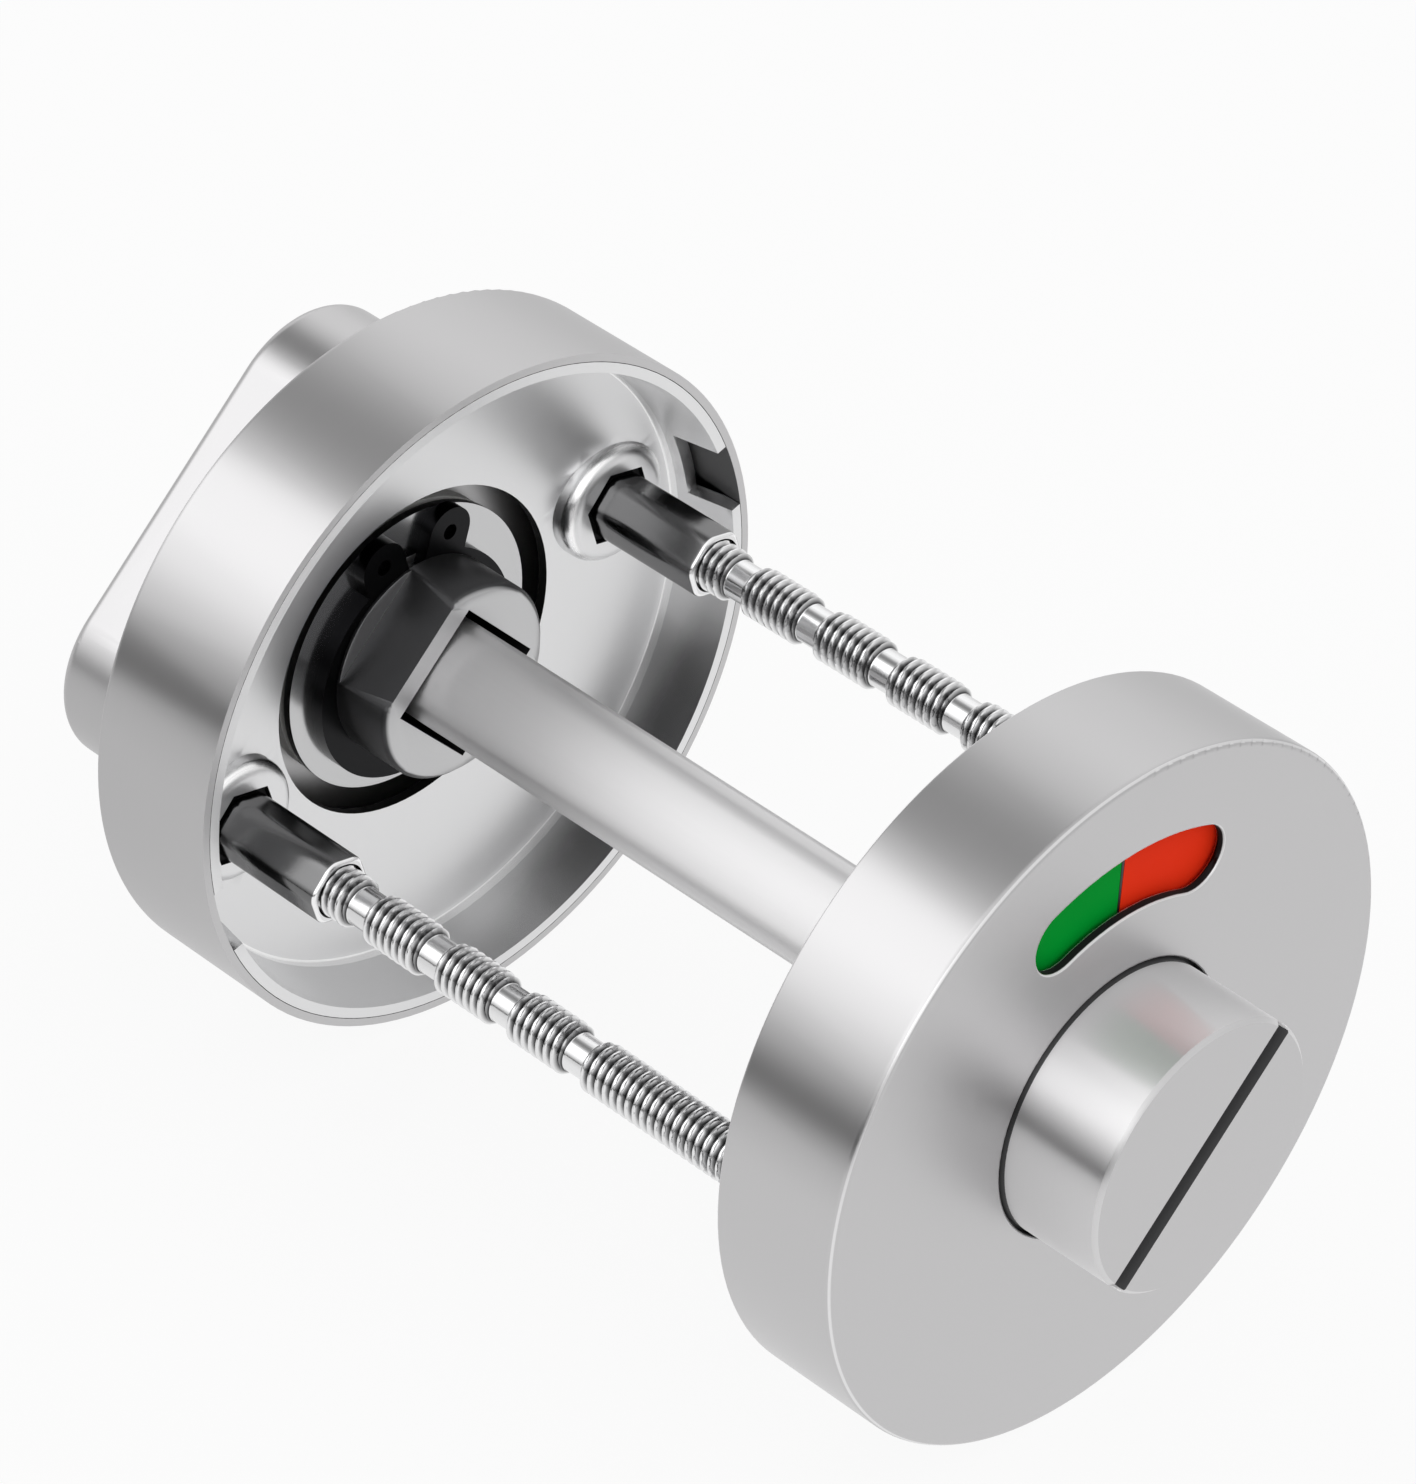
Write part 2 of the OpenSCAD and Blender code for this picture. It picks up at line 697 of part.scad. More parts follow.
// Inside base plate with hexagon holes that keep the sleeves from turning
module turn_base_plate() {
    color("gainsboro") inside() base_plate(inside_floor, inside_dish)
        rotate(hex_turn) circle(d = hex_hole / cos(30), $fn = 6);
}

// Bush in the inside cover, the bearing of the turn hub
module turn_bush() {
    color("whitesmoke") inside() difference() {
        union() {
            translate([0, 0, flange_front])
                cylinder(d = bush_flange_d, h = turn_back - flange_front);
            translate([0, 0, turn_back - past])
                cylinder(d = bush_d, h = face_t + bush_stand + past);
        }
        translate([0, 0, flange_front - past])
            cylinder(r = hub_r + running_gap, h = turn_h);
    }
}

// Spring washer that makes the thumb turn stay where it is put
module turn_spring_washer() {
    color("gray") inside() translate([0, 0, spring_front])
        spring_washer(hub_r + 4 * seat_gap, hub_r + 4 * seat_gap + spring_w);
}

// Bright washer under the snap ring of the hub
module turn_washer() {
    color("silver") inside() translate([0, 0, washer_front])
        flat_washer(hub_r + seat_gap, washer_d / 2, washer_t);
}

// Black snap ring in the groove of the hub
module turn_snap_ring() {
    color([0.1, 0.1, 0.1]) inside() translate([0, 0, clip_front])
        snap_ring(hub_r - groove_depth, clip_angle);
}

// Turn hub: flats at both ends, a groove, and a socket for the spindle
module turn_hub() {
    color([0.3, 0.3, 0.3]) inside() rotate([0, 0, rest_angle]) difference() {
        rotate_extrude() polygon([[0, hub_inset], [hub_r - hub_chamfer, hub_inset],
            [hub_r, hub_inset + hub_chamfer], [hub_r, clip_front], [hub_r - groove_depth, clip_front],
            [hub_r - groove_depth, washer_front], [hub_r, washer_front], [hub_r, shank_end],
            [0, shank_end]]);
        for (side = [-1, 1]) translate([-hub_r - 1, (side * (hub_flats + hub_r) - hub_r) / 2, 0]) {
            translate([0, 0, hub_inset - 1]) cube([2 * hub_r + 2, hub_r, hub_flat_l + 1]);
            translate([0, 0, grip_front]) cube([2 * hub_r + 2, hub_r, shank_l + 1]);
        }
        translate([0, 0, hub_inset - past]) linear_extrude(socket_end - hub_inset + past)
            square([spindle_w + 3 * spindle_hub_gap, spindle_t + spindle_hub_gap], center = true);
        translate([0, 0, socket_end - past])
            cylinder(r = turn_screw_d / 2 + 2 * seat_gap, h = hub_end_t + 2 * past);
        translate([0, 0, socket_end - past])
            cylinder(r = turn_screw_d / 2 + screw_lip + 2 * seat_gap, h = hub_end_t / 2 + past);
    }
}

// Screw from the floor of the socket into the thumb turn
module turn_screw() {
    head_front = socket_end + 2 * seat_gap;
    head_h = hub_end_t / 2 - 2 * seat_gap;
    color("lightgray") inside() difference() {
        union() {
            translate([0, 0, head_front])
                cylinder(r = turn_screw_d / 2 + screw_lip, h = head_h);
            translate([0, 0, head_front + head_h / 2])
                cylinder(d = turn_screw_d, h = turn_screw_l);
        }
        translate([0, 0, head_front]) cube([turn_screw_d + 4, driver_slot_w, head_h], center = true);
    }
}

// Thumb turn: a bar with round ends, a rounded top and a hollow scoop on each side
module thumb_turn() {
    arch_depth = scoop_r - sqrt(scoop_r * scoop_r - scoop_arch_r * scoop_arch_r);
    color("silver") inside() rotate([0, 0, rest_angle]) translate([0, 0, grip_front]) difference() {
        union() {
            for (side = [-1, 1]) translate([side * end_centre, 0, 0])
                rotate_extrude() rounded_half(end_r, turn_grip_h, turn_round);
            translate([-end_centre, 0, 0]) rotate([90, 0, 90]) linear_extrude(2 * end_centre) union() {
                rounded_half(end_r, turn_grip_h, turn_round);
                mirror([1, 0]) rounded_half(end_r, turn_grip_h, turn_round);
            }
        }
        for (side = [-1, 1])
            translate([0, side * (end_r + scoop_r - arch_depth),
                turn_grip_h - scoop_crown - scoop_arch_r])
                sphere(r = scoop_r, $fn = 180);
        translate([0, 0, -past]) linear_extrude(shank_l + past + seat_gap)
            double_d(hub_r + seat_gap, hub_flats + 2 * seat_gap);
        cylinder(d = turn_screw_d + 2 * seat_gap, h = shank_l + turn_screw_l);
    }
}

indicator_cover();
indicator_base_plate();
release_carrier();
coin_knob();
indicator_disc();
vacant_inlay();
engaged_inlay();
release_washer();
release_spring_washer();
release_snap_ring();
spindle();
spindle_pin();
upper_fixing_bolt();
lower_fixing_bolt();
upper_sleeve_nut();
lower_sleeve_nut();
turn_cover();
turn_base_plate();
turn_bush();
turn_spring_washer();
turn_washer();
turn_snap_ring();
turn_hub();
turn_screw();
thumb_turn();
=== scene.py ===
"""Looks of a toilet indicator bolt: two round roses joined through the door by a spindle and two bolts."""
import logging
import math
from dataclasses import dataclass, replace
from enum import Enum
from typing import Any, Sequence

import bpy
from mathutils import Matrix, Vector


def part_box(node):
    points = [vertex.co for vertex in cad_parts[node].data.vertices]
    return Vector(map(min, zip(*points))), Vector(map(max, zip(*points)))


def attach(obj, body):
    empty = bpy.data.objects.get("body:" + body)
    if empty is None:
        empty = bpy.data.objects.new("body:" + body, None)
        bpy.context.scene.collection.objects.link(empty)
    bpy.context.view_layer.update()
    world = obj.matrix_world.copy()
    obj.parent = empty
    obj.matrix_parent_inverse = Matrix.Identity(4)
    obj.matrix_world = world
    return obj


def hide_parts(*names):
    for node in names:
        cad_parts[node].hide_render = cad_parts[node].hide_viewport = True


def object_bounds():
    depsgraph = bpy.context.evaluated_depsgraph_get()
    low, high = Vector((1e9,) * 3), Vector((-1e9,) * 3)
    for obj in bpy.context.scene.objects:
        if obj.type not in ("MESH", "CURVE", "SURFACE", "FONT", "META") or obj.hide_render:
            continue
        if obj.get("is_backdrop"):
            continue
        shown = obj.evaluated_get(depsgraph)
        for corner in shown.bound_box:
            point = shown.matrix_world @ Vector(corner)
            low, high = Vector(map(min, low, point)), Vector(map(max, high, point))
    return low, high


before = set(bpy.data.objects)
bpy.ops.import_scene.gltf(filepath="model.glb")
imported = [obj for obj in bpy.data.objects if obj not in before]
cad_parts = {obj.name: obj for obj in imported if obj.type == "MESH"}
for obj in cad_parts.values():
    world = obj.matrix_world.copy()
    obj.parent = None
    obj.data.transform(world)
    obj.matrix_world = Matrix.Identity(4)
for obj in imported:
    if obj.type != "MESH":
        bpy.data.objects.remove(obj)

LOG = logging.getLogger("indicator_bolt")
MM = 0.001
CIRCLE = 360
WHITE = (1.0, 1.0, 1.0, 1.0)

Colour = tuple[float, float, float]
Point = tuple[float, float, float]
Ring = list[Point]
Face = tuple[int, ...]
Socket = bpy.types.NodeSocket

# Place of the upper fixing bolt's axis in millimetres, with the lower one opposite
BOLT_X = 17.692
BOLT_Z = 5.409

# Distances from a bolt's axis in millimetres: a neck, the roots of the thread and its crests
NECK_REACH = 1.47
ROOT_REACH = 1.52
CREST_REACH = 1.84

# Slants of a face along the spindle axis, from 0 for a wall to 1 for an end
# WALL_SLANT marks the walls that get painted shade in holes and slots
WALL_SLANT = (0.3, 0.5)
# The wide band and the fine line of painted highlight on rounded and broken edges
WIDE_HIGHLIGHT_SLANTS = (0.35, 0.5, 0.9, 0.97)
FINE_HIGHLIGHT_SLANTS = (0.5, 0.6, 0.78, 0.86)

# How far the painted highlight line of a fold reaches to either side of it in millimetres
FOLD_INWARD = 0.11
FOLD_OUTWARD = 0.09

# How fast the grain changes round the rings of a turned surface and along the lines of a drawn one
ROUND_CHANGE = 0.25
ALONG_CHANGE = 0.03

# Wear of all finishes: octaves of the broad waves, shares of fine and broad, depth of the fine relief
BROAD_DETAIL = 2.0
FINE_WEAR = 0.6
BROAD_WEAR = 0.4
RELIEF_DEPTH = 0.05 * MM

# Turn that lays drawn-out highlights across the rings, and roughness in the painted shade of hollows
ACROSS_RINGS = 0.25
HOLLOW_ROUGHNESS = 0.6

# Gap in metres below which points of a node are joined, and steps of a broken edge
WELD_GAP = 0.001 * MM
EDGE_STEPS = 2


class Grain(Enum):
    """How the surface of a piece was worked."""

    TURNED = "rings round the spindle axis"
    DRAWN = "lines along the spindle axis"
    CAST = "no direction"


class Graph:
    """A node tree of a material or of the world, with short calls to add and join its nodes."""

    def __init__(self, tree: bpy.types.NodeTree) -> None:
        """Takes a node tree and empties it."""
        self.tree = tree
        tree.nodes.clear()

    @classmethod
    def of_material(cls, name: str) -> tuple[bpy.types.Material, "Graph"]:
        """Makes a new material.

        Args:
            name: The material's name.

        Returns:
            The material and its empty graph.
        """
        material = bpy.data.materials.new(name)
        material.use_nodes = True
        return material, cls(material.node_tree)

    def node(self, kind: str, values: dict[Any, Any] | None = None, **settings: Any) -> bpy.types.Node:
        """Adds a node.

        Args:
            kind: The node's type name.
            values: Input values or sockets by the input's name or number.
            **settings: Properties of the node itself.

        Returns:
            The new node.
        """
        made = self.tree.nodes.new(kind)
        for key, value in settings.items():
            setattr(made, key, value)
        for key, value in (values or {}).items():
            self.feed(made.inputs[key], value)
        return made

    def feed(self, target: Socket, value: Any) -> None:
        """Links a socket or sets a value on an input.

        Args:
            target: The input socket.
            value: An output socket, a number or a vector.
        """
        if isinstance(value, bpy.types.NodeSocket):
            self.tree.links.new(value, target)
        else:
            target.default_value = value

    def maths(self, operation: str, *terms: Any, clamp: bool = False) -> Socket:
        """Adds a Math node.

        Args:
            operation: The operation's name.
            *terms: Numbers or sockets in input order.
            clamp: Whether the result stays from 0 to 1.

        Returns:
            The result's socket.
        """
        made = self.node("ShaderNodeMath", operation=operation, use_clamp=clamp)
        for target, value in zip(made.inputs, terms):
            self.feed(target, value)
        return made.outputs[0]

    def ranged(self, value: Socket, first: float, last: float, low: float = 0.0,
               high: float = 1.0) -> Socket:
        """Maps one range of a value onto another, and holds the result inside it.

        Args:
            value: The value's socket.
            first: The value that gives the low result.
            last: The value that gives the high result.
            low: The low result.
            high: The high result.

        Returns:
            The result's socket.
        """
        mapped = self.node("ShaderNodeMapRange", {
            "Value": value, "From Min": first, "From Max": last, "To Min": low, "To Max": high})
        return mapped.outputs["Result"]

    def mix(self, share: Socket, first: Any, second: Any) -> Socket:
        """Blends two colours, which are sockets or have four parts, by a share of the second one."""
        mixed = self.node("ShaderNodeMix", {0: share, 6: first, 7: second}, data_type="RGBA")
        return mixed.outputs[2]

    def blend(self, share: Socket, first: Any, second: Any) -> Socket:
        """Blends two plain values, which are sockets or numbers, by a share of the second one."""
        mixed = self.node("ShaderNodeMix", {0: share, 2: first, 3: second}, data_type="FLOAT")
        return mixed.outputs[0]

    def noise(self, vector: Socket, scale: float, detail: float = 3.0) -> Socket:
        """Adds a noise texture, with its scale in waves a unit and its detail in octaves."""
        made = self.node("ShaderNodeTexNoise", {"Vector": vector, "Scale": scale, "Detail": detail})
        return made.outputs["Fac"]

    def place(self) -> bpy.types.NodeOutputs:
        """Gives the X, Y and Z of a place on a piece in metres."""
        place = self.node("ShaderNodeTexCoord").outputs["Object"]
        return self.node("ShaderNodeSeparateXYZ", {"Vector": place}).outputs

    def distance(self, x: Socket, z: Socket) -> Socket:
        """Gives the distance from an axis along Y, from the places across it."""
        squares = [self.maths("MULTIPLY", side, side) for side in (x, z)]
        return self.maths("SQRT", self.maths("ADD", *squares))

    def end_share(self, low: float = 0.6, high: float = 0.9) -> Socket:
        """Tells faces that look along the spindle axis from all others.

        Args:
            low: Slant along the axis at which the share starts.
            high: Slant along the axis at which the share is whole.

        Returns:
            The share's socket, from 0 to 1.
        """
        facing = self.node("ShaderNodeTexCoord").outputs["Normal"]
        split = self.node("ShaderNodeSeparateXYZ", {"Vector": facing})
        return self.ranged(self.maths("ABSOLUTE", split.outputs["Y"]), low, high)

    def slant_share(self, start: float, whole: float, fading: float, end: float) -> Socket:
        """Tells faces with a slant between a start and an end, and in full between two others."""
        return self.maths("SUBTRACT", self.end_share(start, whole), self.end_share(fading, end))

    def near_share(self, radius: float) -> Socket:
        """Tells places nearer to the spindle axis than a radius in millimetres."""
        at = self.place()
        return self.maths("LESS_THAN", self.distance(at["X"], at["Z"]), radius * MM)

    def beyond_share(self, y: float) -> Socket:
        """Tells places farther along the spindle than a plane, which is given in millimetres."""
        return self.maths("GREATER_THAN", self.place()["Y"], y * MM)

    def rim_highlight_share(self, radius: float) -> Socket:
        """Tells rounded and broken edges, which slant between end and wall, where a highlight is painted: a
        fine line on all of them.

        Args:
            radius: Distance from the spindle axis in millimetres up to which the painted highlight is as wide
                as the edge.

        Returns:
            The share's socket, from 0 to 1.
        """
        wide = self.slant_share(*WIDE_HIGHLIGHT_SLANTS)
        fine = self.slant_share(*FINE_HIGHLIGHT_SLANTS)
        return self.maths("MAXIMUM", self.maths("MULTIPLY", self.near_share(radius), wide), fine)

    def fold_highlight_share(self, radius: float) -> Socket:
        """Tells the thin line of painted highlight at the radius where the floor of a base plate is folded
        into its wall.
        """
        inside = self.near_share(radius - FOLD_INWARD)
        return self.maths("SUBTRACT", self.near_share(radius + FOLD_OUTWARD), inside)

    def hollow_shade_share(self, radius: float) -> Socket:
        """Tells the walls of holes, slots and hollows, which lie nearer to the axis than a radius, for
        painted shade.
        """
        wall = self.maths("SUBTRACT", 1.0, self.end_share(*WALL_SLANT))
        return self.maths("MULTIPLY", self.near_share(radius), wall)

    def thread_root_share(self) -> Socket:
        """Tells how deep a place lies in the thread of one of the two bolts.

        Returns:
            The share's socket, 1 at the roots of the thread and 0 at its crests and on the necks.
        """
        at = self.place()
        reaches = []
        for side in (1, -1):
            x = self.maths("SUBTRACT", at["X"], side * BOLT_X * MM)
            z = self.maths("SUBTRACT", at["Z"], side * BOLT_Z * MM)
            reaches.append(self.distance(x, z))
        reach = self.maths("MINIMUM", *reaches)
        deep = self.ranged(reach, ROOT_REACH * MM, CREST_REACH * MM, 1.0, 0.0)
        return self.maths("MULTIPLY", deep, self.maths("GREATER_THAN", reach, NECK_REACH * MM))

    def worked_place(self, grain: Grain) -> Socket:
        """Gives the place on a piece, drawn out along the lines that its working left.

        Args:
            grain: How the surface was worked.

        Returns:
            A vector in millimetres, nearly constant along a line of the grain.
        """
        at = self.place()
        x, y, z = (self.maths("MULTIPLY", at[axis], 1 / MM) for axis in "XYZ")
        if grain is Grain.TURNED:
            turn = self.maths("MULTIPLY", self.maths("ARCTAN2", z, x), ROUND_CHANGE)
            parts = (self.distance(x, z), y, turn)
        elif grain is Grain.DRAWN:
            parts = (x, self.maths("MULTIPLY", y, ALONG_CHANGE), z)
        else:
            parts = (x, y, z)
        return self.node("ShaderNodeCombineXYZ", dict(zip("XYZ", parts))).outputs[0]

    def finish(self, surface: bpy.types.Node, output: str = "ShaderNodeOutputMaterial") -> None:
        """Joins a shader to the output of a material or of the world."""
        self.node(output, {"Surface": surface.outputs[0]})


@dataclass(frozen=True)
class MetalFinish:
    """A bare or plated metal surface, with lines where it was turned or drawn, in millimetres.

    Attributes:
        name: The material's name.
        colour: Colour of the walls, and of all faces that have no colour of their own.
        roughness: Roughness at the middle of its range.
        spread: How far the roughness goes to either side of that.
        grain: How the surface was worked.
        stretch: How far its highlights are drawn out across the rings, from 0 to 1.
        lines: Lines a millimetre.
        groove: How strongly the lines stand out.
        shade: How far the colour goes to either side, as a share of it.
        broad: Broad waves of wear a millimetre.
        end_colour: Colour of the faces that look along the spindle axis.
        end_roughness: Roughness of those faces.
        rim_highlight_colour: Colour of the painted highlight on rounded and broken edges, and on a fold.
        rim_highlight_r: Distance from the axis up to which that painted highlight is as wide as the edge.
        fold_r: Distance from the axis at which a floor is folded into a wall, along which a highlight line is
            painted.
        hollow_shade_r: Distance from the axis up to which a wall is one of a hole, slot or recess, and gets
            painted shade.
        hollow_shade_colour: Colour of the painted shade on those walls.
        shadow_y: Place along the axis beyond which the whole piece gets that painted shade, as a painted
            shadow.
        root_colour: Colour at the roots of a thread.
    """

    name: str
    colour: Colour
    roughness: float
    spread: float = 0.02
    grain: Grain = Grain.CAST
    stretch: float = 0.0
    lines: float = 4.0
    groove: float = 0.02
    shade: float = 0.03
    broad: float = 0.09
    end_colour: Colour | None = None
    end_roughness: float | None = None
    rim_highlight_colour: Colour | None = None
    rim_highlight_r: float = 0.0
    fold_r: float | None = None
    hollow_shade_r: float = 0.0
    hollow_shade_colour: Colour = (0.02, 0.02, 0.02)
    shadow_y: float | None = None
    root_colour: Colour | None = None

    def material(self) -> bpy.types.Material:
        """Makes the material, or gives it again.

        Returns:
            The finish's material.
        """
        known = bpy.data.materials.get(self.name)
        if known:
            return known
        material, graph = Graph.of_material(self.name)
        fine = graph.noise(graph.worked_place(self.grain), self.lines)
        broad = graph.noise(graph.worked_place(Grain.CAST), self.broad, BROAD_DETAIL)
        worn = graph.maths(
            "ADD", graph.maths("MULTIPLY", fine, FINE_WEAR), graph.maths("MULTIPLY", broad, BROAD_WEAR))
        relief = graph.node("ShaderNodeBump", {
            "Height": fine, "Strength": self.groove, "Distance": RELIEF_DEPTH})
        shader = self.surface(graph, worn, relief, self.colour, self.roughness)
        if self.stretch:
            shader.inputs["Anisotropic"].default_value = self.stretch
            shader.inputs["Anisotropic Rotation"].default_value = ACROSS_RINGS
            ring = graph.node("ShaderNodeTangent", direction_type="RADIAL", axis="Y")
            graph.feed(shader.inputs["Tangent"], ring.outputs[0])
        if self.end_colour or self.end_roughness:
            ends = self.surface(graph, worn, relief, self.end_colour or self.colour,
                                self.end_roughness or self.roughness)
            shader = graph.node("ShaderNodeMixShader", {
                0: graph.end_share(), 1: shader.outputs[0], 2: ends.outputs[0]})
        graph.finish(shader)
        return material

    def surface(self, graph: Graph, worn: Socket, relief: bpy.types.Node, colour: Colour,
                roughness: float) -> bpy.types.Node:
        """Adds the shader of one kind of face.

        Args:
            graph: The material's graph.
            worn: How worn a place is, from 0 to 1.
            relief: The bump node of the fine lines.
            colour: The colour at the middle of its range.
            roughness: The roughness at the middle of its range.

        Returns:
            The shader's node.
        """
        shown = self.worn_colour(graph, worn, colour)
        rough = graph.ranged(worn, 0.0, 1.0, roughness - self.spread, roughness + self.spread)
        # Painted highlight on rounded and broken edges, and on the line where a floor is folded
        if self.rim_highlight_colour:
            rim_highlight = self.worn_colour(graph, worn, self.rim_highlight_colour)
            shown = graph.mix(graph.rim_highlight_share(self.rim_highlight_r), shown, rim_highlight)
            if self.fold_r is not None:
                shown = graph.mix(graph.fold_highlight_share(self.fold_r), shown, rim_highlight)
        # Painted shade on the walls of holes and slots, and a painted shadow beyond a plane along the axis
        if self.hollow_shade_r or self.shadow_y is not None:
            shaded_hollow = graph.hollow_shade_share(self.hollow_shade_r)
            if self.shadow_y is not None:
                shaded_hollow = graph.maths("MAXIMUM", shaded_hollow, graph.beyond_share(self.shadow_y))
            shown = graph.mix(shaded_hollow, shown, self.worn_colour(graph, worn, self.hollow_shade_colour))
            rough = graph.blend(shaded_hollow, rough, HOLLOW_ROUGHNESS)
        if self.root_colour:
            root = self.worn_colour(graph, worn, self.root_colour)
            shown = graph.mix(graph.thread_root_share(), shown, root)
        return graph.node("ShaderNodeBsdfPrincipled", {
            "Metallic": 1.0, "Base Color": shown, "Roughness": rough, "Normal": relief.outputs["Normal"]})

    def worn_colour(self, graph: Graph, worn: Socket, colour: Colour) -> Socket:
        """Varies a colour a little over the surface.

        Args:
            graph: The material's graph.
            worn: How worn a place is, from 0 to 1.
            colour: The colour at the middle of its range.

        Returns:
            The varied colour's socket.
        """
        dark = [part * (1 - self.shade) for part in colour]
        light = [min(1.0, part * (1 + self.shade)) for part in colour]
        return graph.mix(worn, (*dark, 1.0), (*light, 1.0))


@dataclass(frozen=True)
class MouldedFinish:
    """A moulded plastic or painted surface.

    Attributes:
        name: The material's name.
        colour: Colour at the middle of its range.
        roughness: Roughness at the middle of its range.
        spread: How far the roughness goes to either side of that.
        pits: Fine pits a millimetre.
        pit_depth: How strongly the pits stand out.
        broad: Broad waves of colour a millimetre.
        dark: Darkest colour, as a share of the colour.
        light: Lightest colour, as a share of the colour.
        gloss: Specular level.
    """

    name: str
    colour: Colour
    roughness: float
    spread: float = 0.05
    pits: float = 8.0
    pit_depth: float = 0.04
    broad: float = 0.25
    dark: float = 0.93
    light: float = 1.05
    gloss: float = 0.5

    def material(self) -> bpy.types.Material:
        """Makes the material, or gives it again.

        Returns:
            The finish's material.
        """
        known = bpy.data.materials.get(self.name)
        if known:
            return known
        material, graph = Graph.of_material(self.name)
        place = graph.worked_place(Grain.CAST)
        fine = graph.noise(place, self.pits)
        broad = graph.noise(place, self.broad, BROAD_DETAIL)
        dark = [part * self.dark for part in self.colour]
        light = [min(1.0, part * self.light) for part in self.colour]
        relief = graph.node("ShaderNodeBump", {
            "Height": fine, "Strength": self.pit_depth, "Distance": RELIEF_DEPTH})
        graph.finish(graph.node("ShaderNodeBsdfPrincipled", {
            "Base Color": graph.mix(broad, (*dark, 1.0), (*light, 1.0)),
            "Roughness": graph.ranged(fine, 0.0, 1.0, self.roughness - self.spread,
                                      self.roughness + self.spread),
            "Specular IOR Level": self.gloss,
            "Normal": relief.outputs["Normal"]}))
        return material


Finish = MetalFinish | MouldedFinish

# BRIGHT_STEEL and PALE_STEEL are also the painted edge highlights of the outside cover and the knob
STEEL = (0.57, 0.565, 0.57)
BRIGHT_STEEL = (0.8, 0.795, 0.8)
PALE_STEEL = (0.7, 0.695, 0.7)

# Rim colours are painted highlights on edges and folds; hollow colours are painted shade on walls of holes
SATIN_COVER = MetalFinish(
    "satin_cover_steel", STEEL, 0.34, grain=Grain.TURNED, stretch=0.95, lines=5.0, groove=0.005, shade=0.015,
    end_roughness=0.38, rim_highlight_colour=BRIGHT_STEEL, rim_highlight_r=25.4, hollow_shade_r=25.4, hollow_shade_colour=(0.03, 0.03, 0.031))
SATIN_BACK = replace(
    SATIN_COVER, name="satin_turn_cover_steel", rim_highlight_colour=None, hollow_shade_r=25.43,
    hollow_shade_colour=(0.12, 0.12, 0.122))
# The knob also gets a painted shadow at the foot of its flank, where it goes into the rose
SATIN_KNOB = MetalFinish(
    "satin_knob_steel", BRIGHT_STEEL, 0.37, grain=Grain.TURNED, stretch=1.0, lines=5.0, groove=0.005,
    shade=0.015, end_colour=STEEL, end_roughness=0.38, rim_highlight_colour=PALE_STEEL, rim_highlight_r=9.9, hollow_shade_r=9.9,
    hollow_shade_colour=(0.12, 0.12, 0.123), shadow_y=-10.15)
SATIN_DRAWN = MetalFinish("satin_drawn_steel", PALE_STEEL, 0.5, grain=Grain.DRAWN, groove=0.01, shade=0.025)
SATIN_CAST = MetalFinish(
    "satin_cast_steel", (0.52, 0.515, 0.52), 0.3, lines=2.0, groove=0.004, shade=0.02)
PRESSED = MetalFinish(
    "pressed_bright_steel", (0.74, 0.74, 0.745), 0.24, lines=0.6, groove=0.01, shade=0.015,
    end_colour=(0.77, 0.77, 0.775), end_roughness=0.34, rim_highlight_colour=(1.0, 1.0, 1.0), fold_r=23.7,
    hollow_shade_r=13.2)
POLISHED = MetalFinish(
    "polished_washer_steel", (0.55, 0.55, 0.555), 0.18, grain=Grain.TURNED, lines=5.0, groove=0.015)
SPRING = MetalFinish("hardened_spring_steel", (0.36, 0.36, 0.37), 0.3, spread=0.03)
BLACK_STEEL = MetalFinish("black_oxide_steel", (0.01, 0.01, 0.011), 0.3, spread=0.03)
HUB_STEEL = MetalFinish(
    "dark_hub_steel", (0.09, 0.09, 0.093), 0.42, spread=0.03, grain=Grain.TURNED, stretch=0.3, lines=5.0,
    groove=0.01, end_colour=(0.55, 0.55, 0.555), end_roughness=0.35)
# The sleeve also gets painted shade from its shoulder on, inside the base plate's hole
NICKEL = MetalFinish(
    "dark_nickel_plate", (0.18, 0.18, 0.182), 0.18, grain=Grain.DRAWN, lines=3.0, groove=0.01,
    end_colour=(0.75, 0.75, 0.755), rim_highlight_colour=(0.9, 0.9, 0.905), rim_highlight_r=26.0,
    hollow_shade_colour=(0.02, 0.02, 0.021), shadow_y=54.0)
ZINC = MetalFinish(
    "bright_zinc_plate", (0.8, 0.8, 0.805), 0.16, spread=0.03, shade=0.04, root_colour=(0.07, 0.07, 0.072))
BLACK_NYLON = MouldedFinish("moulded_black_nylon", (0.01, 0.01, 0.011), 0.45)
WHITE_NYLON = MouldedFinish("moulded_white_nylon", (0.75, 0.75, 0.73), 0.45)
GREEN = MouldedFinish("vacant_green_enamel", (0.0, 0.34, 0.033), 0.5, pits=6.0, gloss=0.02)
RED = MouldedFinish("engaged_red_enamel", (0.98, 0.04, 0.01), 0.5, pits=6.0, gloss=0.02)


